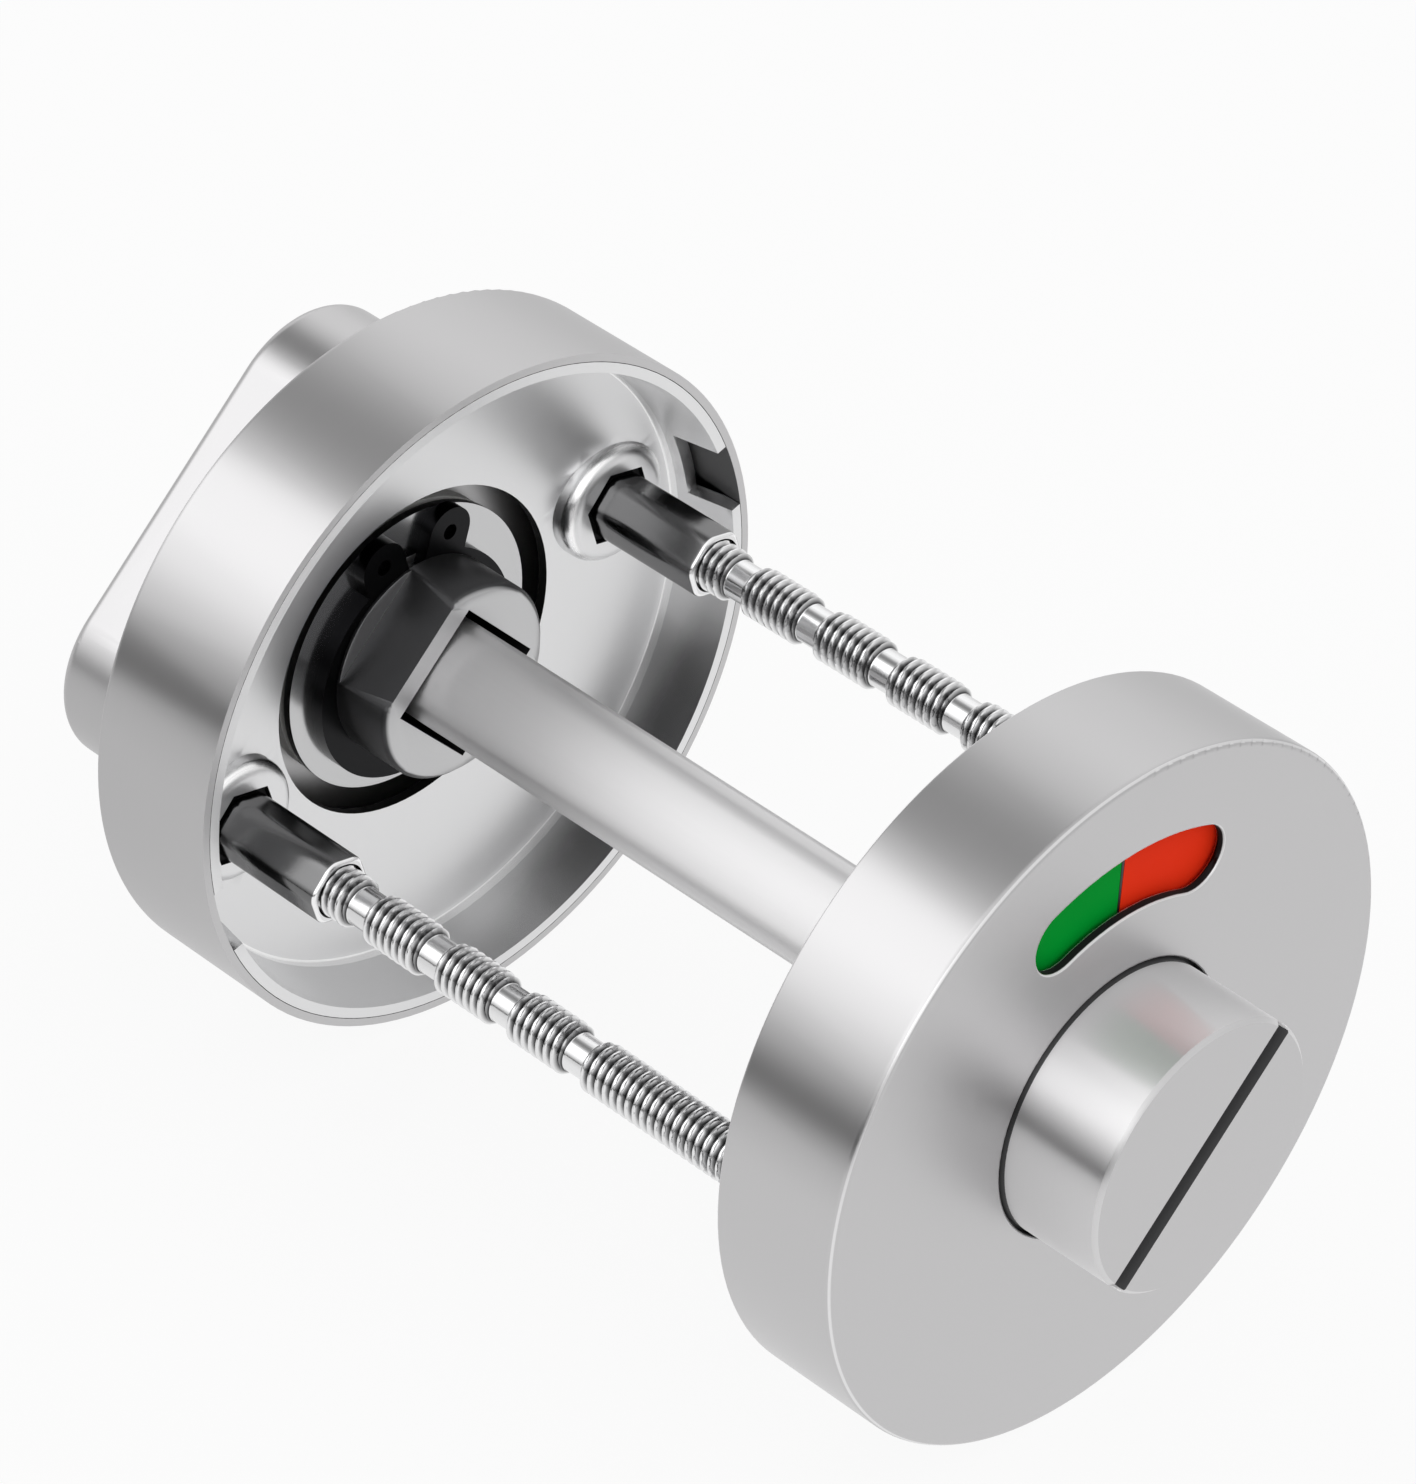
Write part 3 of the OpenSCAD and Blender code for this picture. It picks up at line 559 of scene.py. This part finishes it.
def dress(node: str, finish: Finish, edge: float | None = None, crease: float = 60.0) -> bpy.types.Object:
    """Gives a node of the frame its finish, evens its shading and breaks its sharp edges.

    Args:
        node: The node's name.
        finish: The finish that it gets.
        edge: Width of the broken edges in millimetres, 0 for even shading alone, or None for neither.
        crease: Angle in degrees above which an edge is broken, or stays sharp where none is broken.

    Returns:
        The node's object.
    """
    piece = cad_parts[node]
    piece.data.materials.clear()
    piece.data.materials.append(finish.material())
    if edge is not None:
        weld = piece.modifiers.new("weld", "WELD")
        weld.merge_threshold = WELD_GAP
        if edge:
            bevel = piece.modifiers.new("broken_edges", "BEVEL")
            bevel.width = edge * MM
            bevel.segments = EDGE_STEPS
            bevel.angle_limit = math.radians(crease)
        else:
            split = piece.modifiers.new("sharp_edges", "EDGE_SPLIT")
            split.split_angle = math.radians(crease)
        normals = piece.modifiers.new("even_shading", "WEIGHTED_NORMAL")
        normals.mode = "FACE_AREA"
    LOG.info("%s: %s", node, finish.name)
    return piece


@dataclass(frozen=True)
class Solid:
    """Points in millimetres and the faces between them."""

    points: tuple[Point, ...]
    faces: tuple[Face, ...]

    @classmethod
    def of_rings(cls, rings: Sequence[Ring]) -> "Solid":
        """Skins a row of rings with equal counts of points, and closes both ends.

        Args:
            rings: The rings, from the lowest Y to the highest.

        Returns:
            The closed solid.
        """
        sides = len(rings[0])
        last = (len(rings) - 1) * sides
        faces: list[Face] = [tuple(range(sides))]
        for base in range(0, last, sides):
            faces += band(base, base + sides, sides)
        faces.append(tuple(last + i for i in reversed(range(sides))))
        return cls(tuple(point for ring in rings for point in ring), tuple(faces))

    @classmethod
    def of_loop(cls, rings: Sequence[Ring]) -> "Solid":
        """Skins a closed row of rings, whose last ring joins the first.

        Args:
            rings: The rings, outside from the lowest Y to the highest and back through the bore.

        Returns:
            The solid, with a hole through it.
        """
        sides = len(rings[0])
        count = len(rings) * sides
        faces: list[Face] = []
        for base in range(0, count, sides):
            faces += band(base, (base + sides) % count, sides)
        return cls(tuple(point for ring in rings for point in ring), tuple(faces))

    def joined(self, other: "Solid") -> "Solid":
        """Puts another solid beside this one.

        Args:
            other: The other solid.

        Returns:
            Both solids as one.
        """
        count = len(self.points)
        moved = tuple(tuple(i + count for i in face) for face in other.faces)
        return Solid(self.points + other.points, self.faces + moved)

    def moved(self, x: float, z: float) -> "Solid":
        """Moves the solid off the spindle axis along X and Z."""
        return Solid(tuple((p[0] + x, p[1], p[2] + z) for p in self.points), self.faces)


def band(base: int, after: int, sides: int) -> list[Face]:
    """Gives the faces between two rings of points, each told by the number of its first point."""
    pairs = [(i, (i + 1) % sides) for i in range(sides)]
    return [(base + i, after + i, after + j, base + j) for i, j in pairs]


def on_ring(radius: float, y: float, turn: float) -> Point:
    """Gives a point of a ring round the Y axis, by its turns round the axis from the top."""
    angle = 2 * math.pi * turn
    return (radius * math.sin(angle), y, radius * math.cos(angle))


def make_piece(name: str, solid: Solid, finish: Finish, body: str, crease: float) -> bpy.types.Object:
    """Makes a piece and lets it ride on a body.

    Args:
        name: The piece's name.
        solid: The piece's points and faces.
        finish: The finish that it gets.
        body: The body that it moves with.
        crease: Angle in degrees above which an edge stays sharp.

    Returns:
        The new object.
    """
    mesh = bpy.data.meshes.new(name)
    mesh.from_pydata([[c * MM for c in p] for p in solid.points], [], solid.faces)
    mesh.validate()
    mesh.polygons.foreach_set("use_smooth", [True] * len(mesh.polygons))
    mesh.set_sharp_from_angle(angle=math.radians(crease))
    piece = bpy.data.objects.new(name, mesh)
    bpy.context.scene.collection.objects.link(piece)
    piece.data.materials.append(finish.material())
    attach(piece, body)
    LOG.info("%s: %d faces, %s", name, len(mesh.polygons), finish.name)
    return piece


@dataclass
class FixingBolt:
    """One of the two break-off bolts, with its thread cut away at the necks, in millimetres.

    Attributes:
        node: The plain node that the bolt stands for.
        body: The body that it moves with.
        rod_r: Radius over the thread.
        neck_r: Radius of the necks.
        neck_half: Half the length of a neck.
        neck_taper: Length of the slope from a neck up to the thread.
        neck_places: Middles of the necks along the spindle.
        pitch: Pitch of the thread.
        thread_depth: Depth of the thread.
        crest: Width of a crest, as a share of the pitch.
        root: Width of a root, as a share of the pitch.
        end_chamfer: Length of the chamfer at the bolt's end.
        shank_r: Radius of the plain shank under the head.
        shank_l: Length of that shank.
        head_h: Height of the head.
        head_edge: Width of the head's broken edges.
        slot_w: Width of the driver slot.
        slot_depth: Depth of the driver slot.
        sides: Points round the bolt.
        rows_a_turn: Rings of points for each turn of the thread.
        crease: Angle in degrees above which an edge stays sharp.
    """

    node: str
    body: str = "outside_rose"
    rod_r: float = 1.92
    neck_r: float = 1.45
    neck_half: float = 0.85
    neck_taper: float = 0.4
    neck_places: tuple[float, ...] = (20.0, 27.0, 34.0, 41.0)
    pitch: float = 0.7
    thread_depth: float = 0.42
    crest: float = 0.22
    root: float = 0.16
    end_chamfer: float = 0.6
    shank_r: float = 1.7
    shank_l: float = 1.6
    head_h: float = 1.4
    head_edge: float = 0.2
    slot_w: float = 1.0
    slot_depth: float = 0.7
    sides: int = 56
    rows_a_turn: int = 12
    crease: float = 32.0

    def limit(self, y: float, start: float, end: float) -> float:
        """Gives the largest radius that the rod may have at a place.

        Args:
            y: The place along the bolt.
            start: Where the rod leaves the head.
            end: Where the rod ends.

        Returns:
            The radius in millimetres.
        """
        if y < start + self.shank_l:
            return self.shank_r
        radius = self.rod_r - max(0.0, y - (end - self.end_chamfer))
        for place in self.neck_places:
            past = (abs(y - place) - self.neck_half) / self.neck_taper
            radius = min(radius, self.neck_r + max(0.0, past) * (self.rod_r - self.neck_r))
        return radius

    def thread(self, turns: float) -> float:
        """Gives the radius of the thread's surface.

        Args:
            turns: Turns of the thread up to a point.

        Returns:
            The radius in millimetres.
        """
        off_root = abs((turns % 1.0) - 0.5) * 2
        slope = (off_root - self.root) / (1 - self.root - self.crest)
        return self.rod_r - self.thread_depth * (1 - min(1.0, max(0.0, slope)))

    def rod(self, start: float, end: float) -> Solid:
        """Makes the rod with its thread, round an axis through the origin.

        Args:
            start: Where the rod leaves the head.
            end: Where the rod ends.

        Returns:
            The rod's points and faces.
        """
        rows = int((end - start) / self.pitch * self.rows_a_turn)
        turns = [i / self.sides for i in range(self.sides)]
        rings = []
        for row in range(rows + 1):
            y = start + (end - start) * row / rows
            limit = self.limit(y, start, end)
            radii = [min(limit, self.thread(y / self.pitch - turn)) for turn in turns]
            rings.append([on_ring(radius, y, turn) for radius, turn in zip(radii, turns)])
        return Solid.of_rings(rings)

    def head(self, head_r: float, start: float) -> Solid:
        """Makes the head: a disc, and two raised halves beside the driver slot.

        Args:
            head_r: Radius of the head.
            start: Where the rod leaves the head.

        Returns:
            The head's points and faces.
        """
        top = start - self.head_h
        floor = top + self.slot_depth
        edge_r = head_r - self.head_edge
        whole = ((head_r, floor), (head_r, start - self.head_edge), (edge_r, start))
        raised = ((edge_r, top), (head_r, top + self.head_edge), (head_r, floor))
        head = Solid.of_rings([[on_ring(r, y, i / self.sides) for i in range(self.sides)] for r, y in whole])
        gap = math.asin(self.slot_w / 2 / head_r) / (2 * math.pi)
        for turn in (0.0, 0.5):
            first = turn + gap
            length = 0.5 - 2 * gap
            turns = [first + length * i / self.sides for i in range(self.sides + 1)]
            head = head.joined(Solid.of_rings([[on_ring(r, y, place) for place in turns] for r, y in raised]))
        return head

    def build(self) -> bpy.types.Object:
        """Makes the threaded bolt in place of the plain node.

        Returns:
            The bolt.
        """
        low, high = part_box(self.node)
        x = (low.x + high.x) / 2 / MM
        z = (low.z + high.z) / 2 / MM
        start = low.y / MM + self.head_h
        head = self.head((high.x - low.x) / 2 / MM, start)
        whole = head.joined(self.rod(start, high.y / MM)).moved(x, z)
        bolt = make_piece(self.node + "_threaded", whole, ZINC, self.body, self.crease)
        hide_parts(self.node)
        return bolt


@dataclass
class SleeveNut:
    """A sleeve nut in millimetres: a well rounded hexagon tube, a shoulder in the plate's hole, a head.

    Attributes:
        node: The plain node that the sleeve stands for.
        body: The body that it moves with.
        half_flats: Half the width across the flats.
        corner_r: Radius of the corners.
        mouth_edge: Width of the rounded edge of the mouth.
        mouth_round: Middle of that edge, as a share of its width.
        bore_r: Radius of the bore.
        bore_flare: How much wider the bore is at the mouth.
        shoulder_half: Half the width across the shoulder's flats.
        shoulder_corner_r: Radius of the shoulder's corners.
        shoulder_at: Where the shoulder starts, from the mouth.
        shoulder_l: Length of the shoulder.
        head_edge: Width of the head's broken edge.
        corners: Number of corners.
        first_corner: Angle of the first corner in degrees from the top.
        corner_steps: Steps round each corner.
        flat_steps: Steps along each flat, which keep the bore round.
        crease: Angle in degrees above which an edge stays sharp.
    """

    node: str
    body: str = "inside_rose"
    half_flats: float = 2.4
    corner_r: float = 1.2
    mouth_edge: float = 0.3
    mouth_round: float = 0.3
    bore_r: float = 2.0
    bore_flare: float = 0.08
    shoulder_half: float = 2.65
    shoulder_corner_r: float = 0.25
    shoulder_at: float = 10.11
    shoulder_l: float = 0.45
    head_edge: float = 0.25
    corners: int = 6
    first_corner: float = 41.0
    corner_steps: int = 10
    flat_steps: int = 5
    crease: float = 50.0

    def hexagon(self, half_flats: float, corner_r: float, y: float) -> Ring:
        """Gives a ring with the outline of a rounded hexagon.

        Args:
            half_flats: Half the width across the flats.
            corner_r: Radius of the corners.
            y: The ring's place along the axis.

        Returns:
            The ring's points, from the first corner on.
        """
        apart = CIRCLE / self.corners
        reach = (half_flats - corner_r) / math.cos(math.radians(apart / 2))
        ring = []
        for corner in range(self.corners):
            middle = self.first_corner + apart * corner
            centre = on_ring(reach, y, middle / CIRCLE)
            following = on_ring(reach, y, (middle + apart) / CIRCLE)
            for step in range(self.corner_steps + 1):
                turn = (middle - apart / 2 + apart * step / self.corner_steps) / CIRCLE
                x, _, z = on_ring(corner_r, y, turn)
                ring.append((centre[0] + x, y, centre[2] + z))
            for step in range(1, self.flat_steps):
                share = step / self.flat_steps
                ring.append((centre[0] + (following[0] - centre[0]) * share + x, y,
                             centre[2] + (following[2] - centre[2]) * share + z))
        return ring

    def build(self) -> bpy.types.Object:
        """Makes the rounded sleeve in place of the plain node.

        Returns:
            The sleeve nut.
        """
        low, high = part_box(self.node)
        x = (low.x + high.x) / 2 / MM
        z = (low.z + high.z) / 2 / MM
        head_r = (high.x - low.x) / 2 / MM
        mouth = low.y / MM
        end = high.y / MM
        shoulder = mouth + self.shoulder_at
        seat = shoulder + self.shoulder_l
        edge = self.mouth_edge
        rounded = edge * self.mouth_round

        def tube(inset: float, y: float) -> Ring:
            """Gives a ring of the tube, or of its rounded mouth."""
            return self.hexagon(self.half_flats - inset, self.corner_r - inset, y)

        def circle(radius: float, y: float) -> Ring:
            """Gives a round ring with a point beside each of the tube's."""
            turns = [math.atan2(p[0], p[2]) / (2 * math.pi) for p in tube(0.0, y)]
            return [on_ring(radius, y, turn) for turn in turns]

        rings = [
            circle(self.bore_r + self.bore_flare, mouth),
            tube(edge, mouth),
            tube(rounded, mouth + rounded),
            tube(0.0, mouth + edge),
            tube(0.0, shoulder),
            self.hexagon(self.shoulder_half, self.shoulder_corner_r, shoulder),
            self.hexagon(self.shoulder_half, self.shoulder_corner_r, seat),
            circle(head_r, seat),
            circle(head_r, end - self.head_edge),
            circle(head_r - self.head_edge, end),
            circle(self.bore_r, end),
            circle(self.bore_r, mouth + edge)]
        whole = Solid.of_loop(rings).moved(x, z)
        nut = make_piece(self.node + "_rounded", whole, NICKEL, self.body, self.crease)
        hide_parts(self.node)
        return nut


@dataclass
class OutsideRose:
    """The outside rose with its window, coin knob and turning disc.

    Attributes:
        cover_edge: Width of the cover's broken edges in millimetres.
        knob_edge: Width of the knob's broken edges in millimetres.
        knob_crease: Angle in degrees above which an edge of the knob is broken.
    """

    cover_edge: float = 0.2
    knob_edge: float = 0.12
    knob_crease: float = 40.0

    def dress(self) -> None:
        """Gives every node of the outside rose its finish."""
        dress("indicator_cover", SATIN_COVER, self.cover_edge)
        dress("indicator_base_plate", PRESSED)
        dress("release_carrier", BLACK_NYLON)
        dress("coin_knob", SATIN_KNOB, self.knob_edge, self.knob_crease)
        dress("indicator_disc", BLACK_NYLON)
        dress("vacant_inlay", GREEN)
        dress("engaged_inlay", RED)
        dress("release_washer", POLISHED)
        dress("release_spring_washer", SPRING)
        dress("release_snap_ring", BLACK_STEEL)


@dataclass
class InsideRose:
    """The inside rose with its bearing, hub and thumb turn.

    Attributes:
        cover_edge: Width of the cover's broken edges in millimetres, 0 for even shading alone.
        plate_edge: Width of the base plate's broken edges in millimetres.
        hub_edge: Width of the hub's broken edges in millimetres.
        grip_edge: Width of the thumb turn's broken edges in millimetres, 0 for even shading alone.
        scoop_crease: Angle in degrees above which an edge of the thumb turn stays sharp.
    """

    cover_edge: float = 0.0
    plate_edge: float = 0.25
    hub_edge: float = 0.12
    grip_edge: float = 0.0
    scoop_crease: float = 9.5

    def dress(self) -> None:
        """Gives every node of the inside rose its finish."""
        dress("turn_cover", SATIN_BACK, self.cover_edge)
        dress("turn_base_plate", PRESSED, self.plate_edge)
        dress("turn_bush", WHITE_NYLON)
        dress("turn_spring_washer", SPRING)
        dress("turn_washer", POLISHED)
        dress("turn_snap_ring", BLACK_STEEL)
        dress("turn_hub", HUB_STEEL, self.hub_edge)
        dress("turn_screw", ZINC)
        dress("thumb_turn", SATIN_CAST, self.grip_edge, self.scoop_crease)


@dataclass
class ThroughParts:
    """The pieces that run through the door.

    Attributes:
        sides: Names of the two places that have a fixing bolt and a sleeve nut.
        spindle_edge: Width of the spindle's broken edges in millimetres.
    """

    sides: tuple[str, ...] = ("upper", "lower")
    spindle_edge: float = 0.15

    def dress(self) -> None:
        """Gives the spindle and its pin their finish."""
        dress("spindle", SATIN_DRAWN, self.spindle_edge)
        dress("spindle_pin", SPRING)

    def build(self) -> None:
        """Makes the threaded bolts and the rounded sleeves."""
        for side in self.sides:
            FixingBolt(side + "_fixing_bolt").build()
            SleeveNut(side + "_sleeve_nut").build()


@dataclass
class Studio:
    """Camera, table and light of the picture.

    Attributes:
        image_w: Width of the photograph in pixels.
        image_h: Height of the photograph in pixels.
        focal_px: Focal length in pixels of the photograph.
        sensor: Width of the camera's sensor in millimetres.
        clip_start: Nearest distance that the camera sees, in metres.
        stand: Where the camera stands, in millimetres.
        look: The way that the camera looks.
        down: The way that points down in the picture.
        table_r: Radius of the table in millimetres.
        table_sides: Corners of the table's outline.
        table_y: Middle of the table along the spindle in metres.
        table_gap: Gap between the roses and the table in metres.
        table_waves: Waves of the table's colour a millimetre.
        table_grey: Darkest grey of the table.
        table_spread: How much lighter than that the table gets.
        table_glow: Share of the table's own glow in what camera and metal see of it.
        table_far: Glow that metal mirrors from the part of the table beyond the middle.
        far_from: Place on the table where the glow starts to fall, in metres from its middle.
        far_to: Place on the table where it has fallen.
        plain_light: Light that comes evenly from all sides.
        ring_top: Brightest level that a screen may have.
        swap_slope: Slant along the spindle at which one ring has given way to the other.
        ends_from: Slant along the spindle at which the rings start to give way to the plain light.
        ends_to: Slant along the spindle at which they have given way.
        ring: Screens on the inside rose's side: places round the axis, and how bright they are there.
        front_ring: Screens on the outside rose's side.
    """

    image_w: int = 1416
    image_h: int = 1484
    focal_px: float = 7000.0
    sensor: float = 36.0
    clip_start: float = 0.01
    stand: Point = (-277.5, -229.5, 284.9)
    look: Point = (0.592, 0.548, -0.591)
    down: Point = (-0.389, -0.448, -0.805)
    table_r: float = 300.0
    table_sides: int = 96
    table_y: float = 0.03
    table_gap: float = 0.0001
    table_waves: float = 0.05
    table_grey: float = 0.95
    table_spread: float = 0.01
    table_glow: float = 0.9
    table_far: float = 0.83
    far_from: float = 0.01
    far_to: float = 0.035
    plain_light: float = 0.76
    ring_top: float = 2.0
    swap_slope: float = 0.3
    ends_from: float = 0.8
    ends_to: float = 0.98
    ring: tuple[tuple[float, float], ...] = (
        (0.0, 0.672), (0.19, 0.736), (0.203, 0.56), (0.215, 0.04), (0.244, 0.04), (0.264, 0.64), (0.3, 1.12),
        (0.335, 1.56), (0.37, 1.88), (0.425, 1.96), (0.448, 0.88), (0.478, 0.36), (0.512, 0.24), (0.542, 0.4),
        (0.572, 0.92), (0.62, 1.2), (0.68, 1.12), (0.74, 0.92), (0.8, 0.68), (1.0, 0.672))
    front_ring: tuple[tuple[float, float], ...] = (
        (0.0, 0.672), (0.19, 0.736), (0.21, 0.016), (0.256, 0.016), (0.28, 0.9), (0.33, 1.95), (0.36, 1.8),
        (0.41, 1.3), (0.46, 1.08), (0.52, 0.98), (0.62, 0.92), (0.7, 0.8), (0.8, 0.68), (1.0, 0.672))

    def camera(self) -> None:
        """Sets up the camera where the photograph was taken."""
        data = bpy.data.cameras.new("camera")
        data.sensor_width = self.sensor
        data.lens = self.focal_px / max(self.image_w, self.image_h) * self.sensor
        data.clip_start = self.clip_start
        camera = bpy.data.objects.new("camera", data)
        back = -Vector(self.look).normalized()
        up = -Vector(self.down)
        up = (up - up.dot(back) * back).normalized()
        turned = Matrix((up.cross(back), up, back)).transposed().to_4x4()
        camera.matrix_world = Matrix.Translation(Vector(self.stand) * MM) @ turned
        bpy.context.scene.collection.objects.link(camera)
        bpy.context.scene.camera = camera

    def seen(self, graph: Graph) -> Socket:
        """Tells the rays that show the studio: those of the camera, and of metal and glass.

        Args:
            graph: The graph that asks.

        Returns:
            The rays' socket, 1 for such a ray and 0 for one that only brings light.
        """
        rays = graph.node("ShaderNodeLightPath").outputs
        mirror = graph.maths("ADD", rays["Is Glossy Ray"], rays["Is Transmission Ray"])
        return graph.maths("ADD", rays["Is Camera Ray"], mirror, clamp=True)

    def table_finish(self) -> bpy.types.Material:
        """Makes the pale finish of the table, which keeps the roses' shadow.

        Returns:
            The table's material.
        """
        material, graph = Graph.of_material("pale_table")
        grain = graph.noise(graph.worked_place(Grain.CAST), self.table_waves, BROAD_DETAIL)
        dark = [self.table_grey] * 3
        light = [self.table_grey + self.table_spread] * 3
        plain = graph.node("ShaderNodeBsdfDiffuse", {"Color": graph.mix(grain, (*dark, 1.0), (*light, 1.0))})
        mirrored = graph.ranged(graph.place()["Y"], self.far_from, self.far_to, 1.0, self.table_far)
        looked_at = graph.node("ShaderNodeLightPath").outputs["Is Camera Ray"]
        strength = graph.blend(looked_at, mirrored, 1.0)
        glow = graph.node("ShaderNodeEmission", {"Color": WHITE, "Strength": strength})
        share = graph.maths("MULTIPLY", self.seen(graph), self.table_glow)
        graph.finish(graph.node("ShaderNodeMixShader", {0: share, 1: plain.outputs[0], 2: glow.outputs[0]}))
        return material

    def table(self) -> None:
        """Lays a pale round table under the roses."""
        low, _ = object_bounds()
        turns = [2 * math.pi * i / self.table_sides for i in range(self.table_sides)]
        reach = self.table_r * MM
        edge = [(reach * math.cos(turn), reach * math.sin(turn), 0.0) for turn in turns]
        mesh = bpy.data.meshes.new("table")
        mesh.from_pydata(edge, [], [list(range(self.table_sides))])
        mesh.materials.append(self.table_finish())
        table = bpy.data.objects.new("table", mesh)
        table.location = (0.0, self.table_y, low.z - self.table_gap)
        bpy.context.scene.collection.objects.link(table)
        table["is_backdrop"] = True

    def screens(self, graph: Graph, share: Socket, ring: Sequence[tuple[float, float]]) -> Socket:
        """Adds a ring of soft and dark screens.

        Args:
            graph: The world's graph.
            share: The place round the spindle axis, from 0 to 1.
            ring: Places round the axis and how bright the screens are there.

        Returns:
            The brightness's socket.
        """
        ramp = graph.node("ShaderNodeValToRGB", {"Fac": share})
        ramp.color_ramp.interpolation = "EASE"
        stops = ramp.color_ramp.elements
        while len(stops) < len(ring):
            stops.new(0.5)
        for stop, (place, level) in zip(stops, ring):
            stop.position = place
            stop.color = (*(3 * [level / self.ring_top]), 1.0)
        return graph.maths("MULTIPLY", ramp.outputs["Color"], self.ring_top)

    def world(self) -> None:
        """Lights the part evenly, and gives metal two rings of soft and dark screens to mirror."""
        world = bpy.data.worlds.new("studio")
        bpy.context.scene.world = world
        world.use_nodes = True
        graph = Graph(world.node_tree)
        way = graph.node("ShaderNodeTexCoord").outputs["Generated"]
        split = graph.node("ShaderNodeSeparateXYZ", {"Vector": way}).outputs
        turn = graph.maths("ARCTAN2", split["X"], split["Z"])
        share = graph.maths("ADD", graph.maths("DIVIDE", turn, 2 * math.pi), 0.5)
        behind = graph.ranged(split["Y"], -self.swap_slope, self.swap_slope)
        front_screens = self.screens(graph, share, self.front_ring)
        screens = graph.blend(behind, front_screens, self.screens(graph, share, self.ring))
        along = graph.ranged(graph.maths("ABSOLUTE", split["Y"]), self.ends_from, self.ends_to)
        mirrored = graph.blend(along, screens, self.plain_light)
        looked_at = graph.node("ShaderNodeLightPath").outputs["Is Camera Ray"]
        shown = graph.blend(looked_at, mirrored, 1.0)
        strength = graph.blend(self.seen(graph), self.plain_light, shown)
        back = graph.node("ShaderNodeBackground", {"Color": WHITE, "Strength": strength})
        graph.finish(back, "ShaderNodeOutputWorld")

    def build(self) -> None:
        """Sets up the whole studio."""
        self.camera()
        self.table()
        self.world()
        bpy.context.scene.view_settings.view_transform = "Standard"


def main() -> None:
    """Builds and dresses the indicator bolt and its studio."""
    logging.basicConfig(level=logging.INFO, format="%(message)s")
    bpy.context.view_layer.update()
    through = ThroughParts()
    OutsideRose().dress()
    InsideRose().dress()
    through.dress()
    through.build()
    Studio().build()


if __name__ == "__main__":
    main()
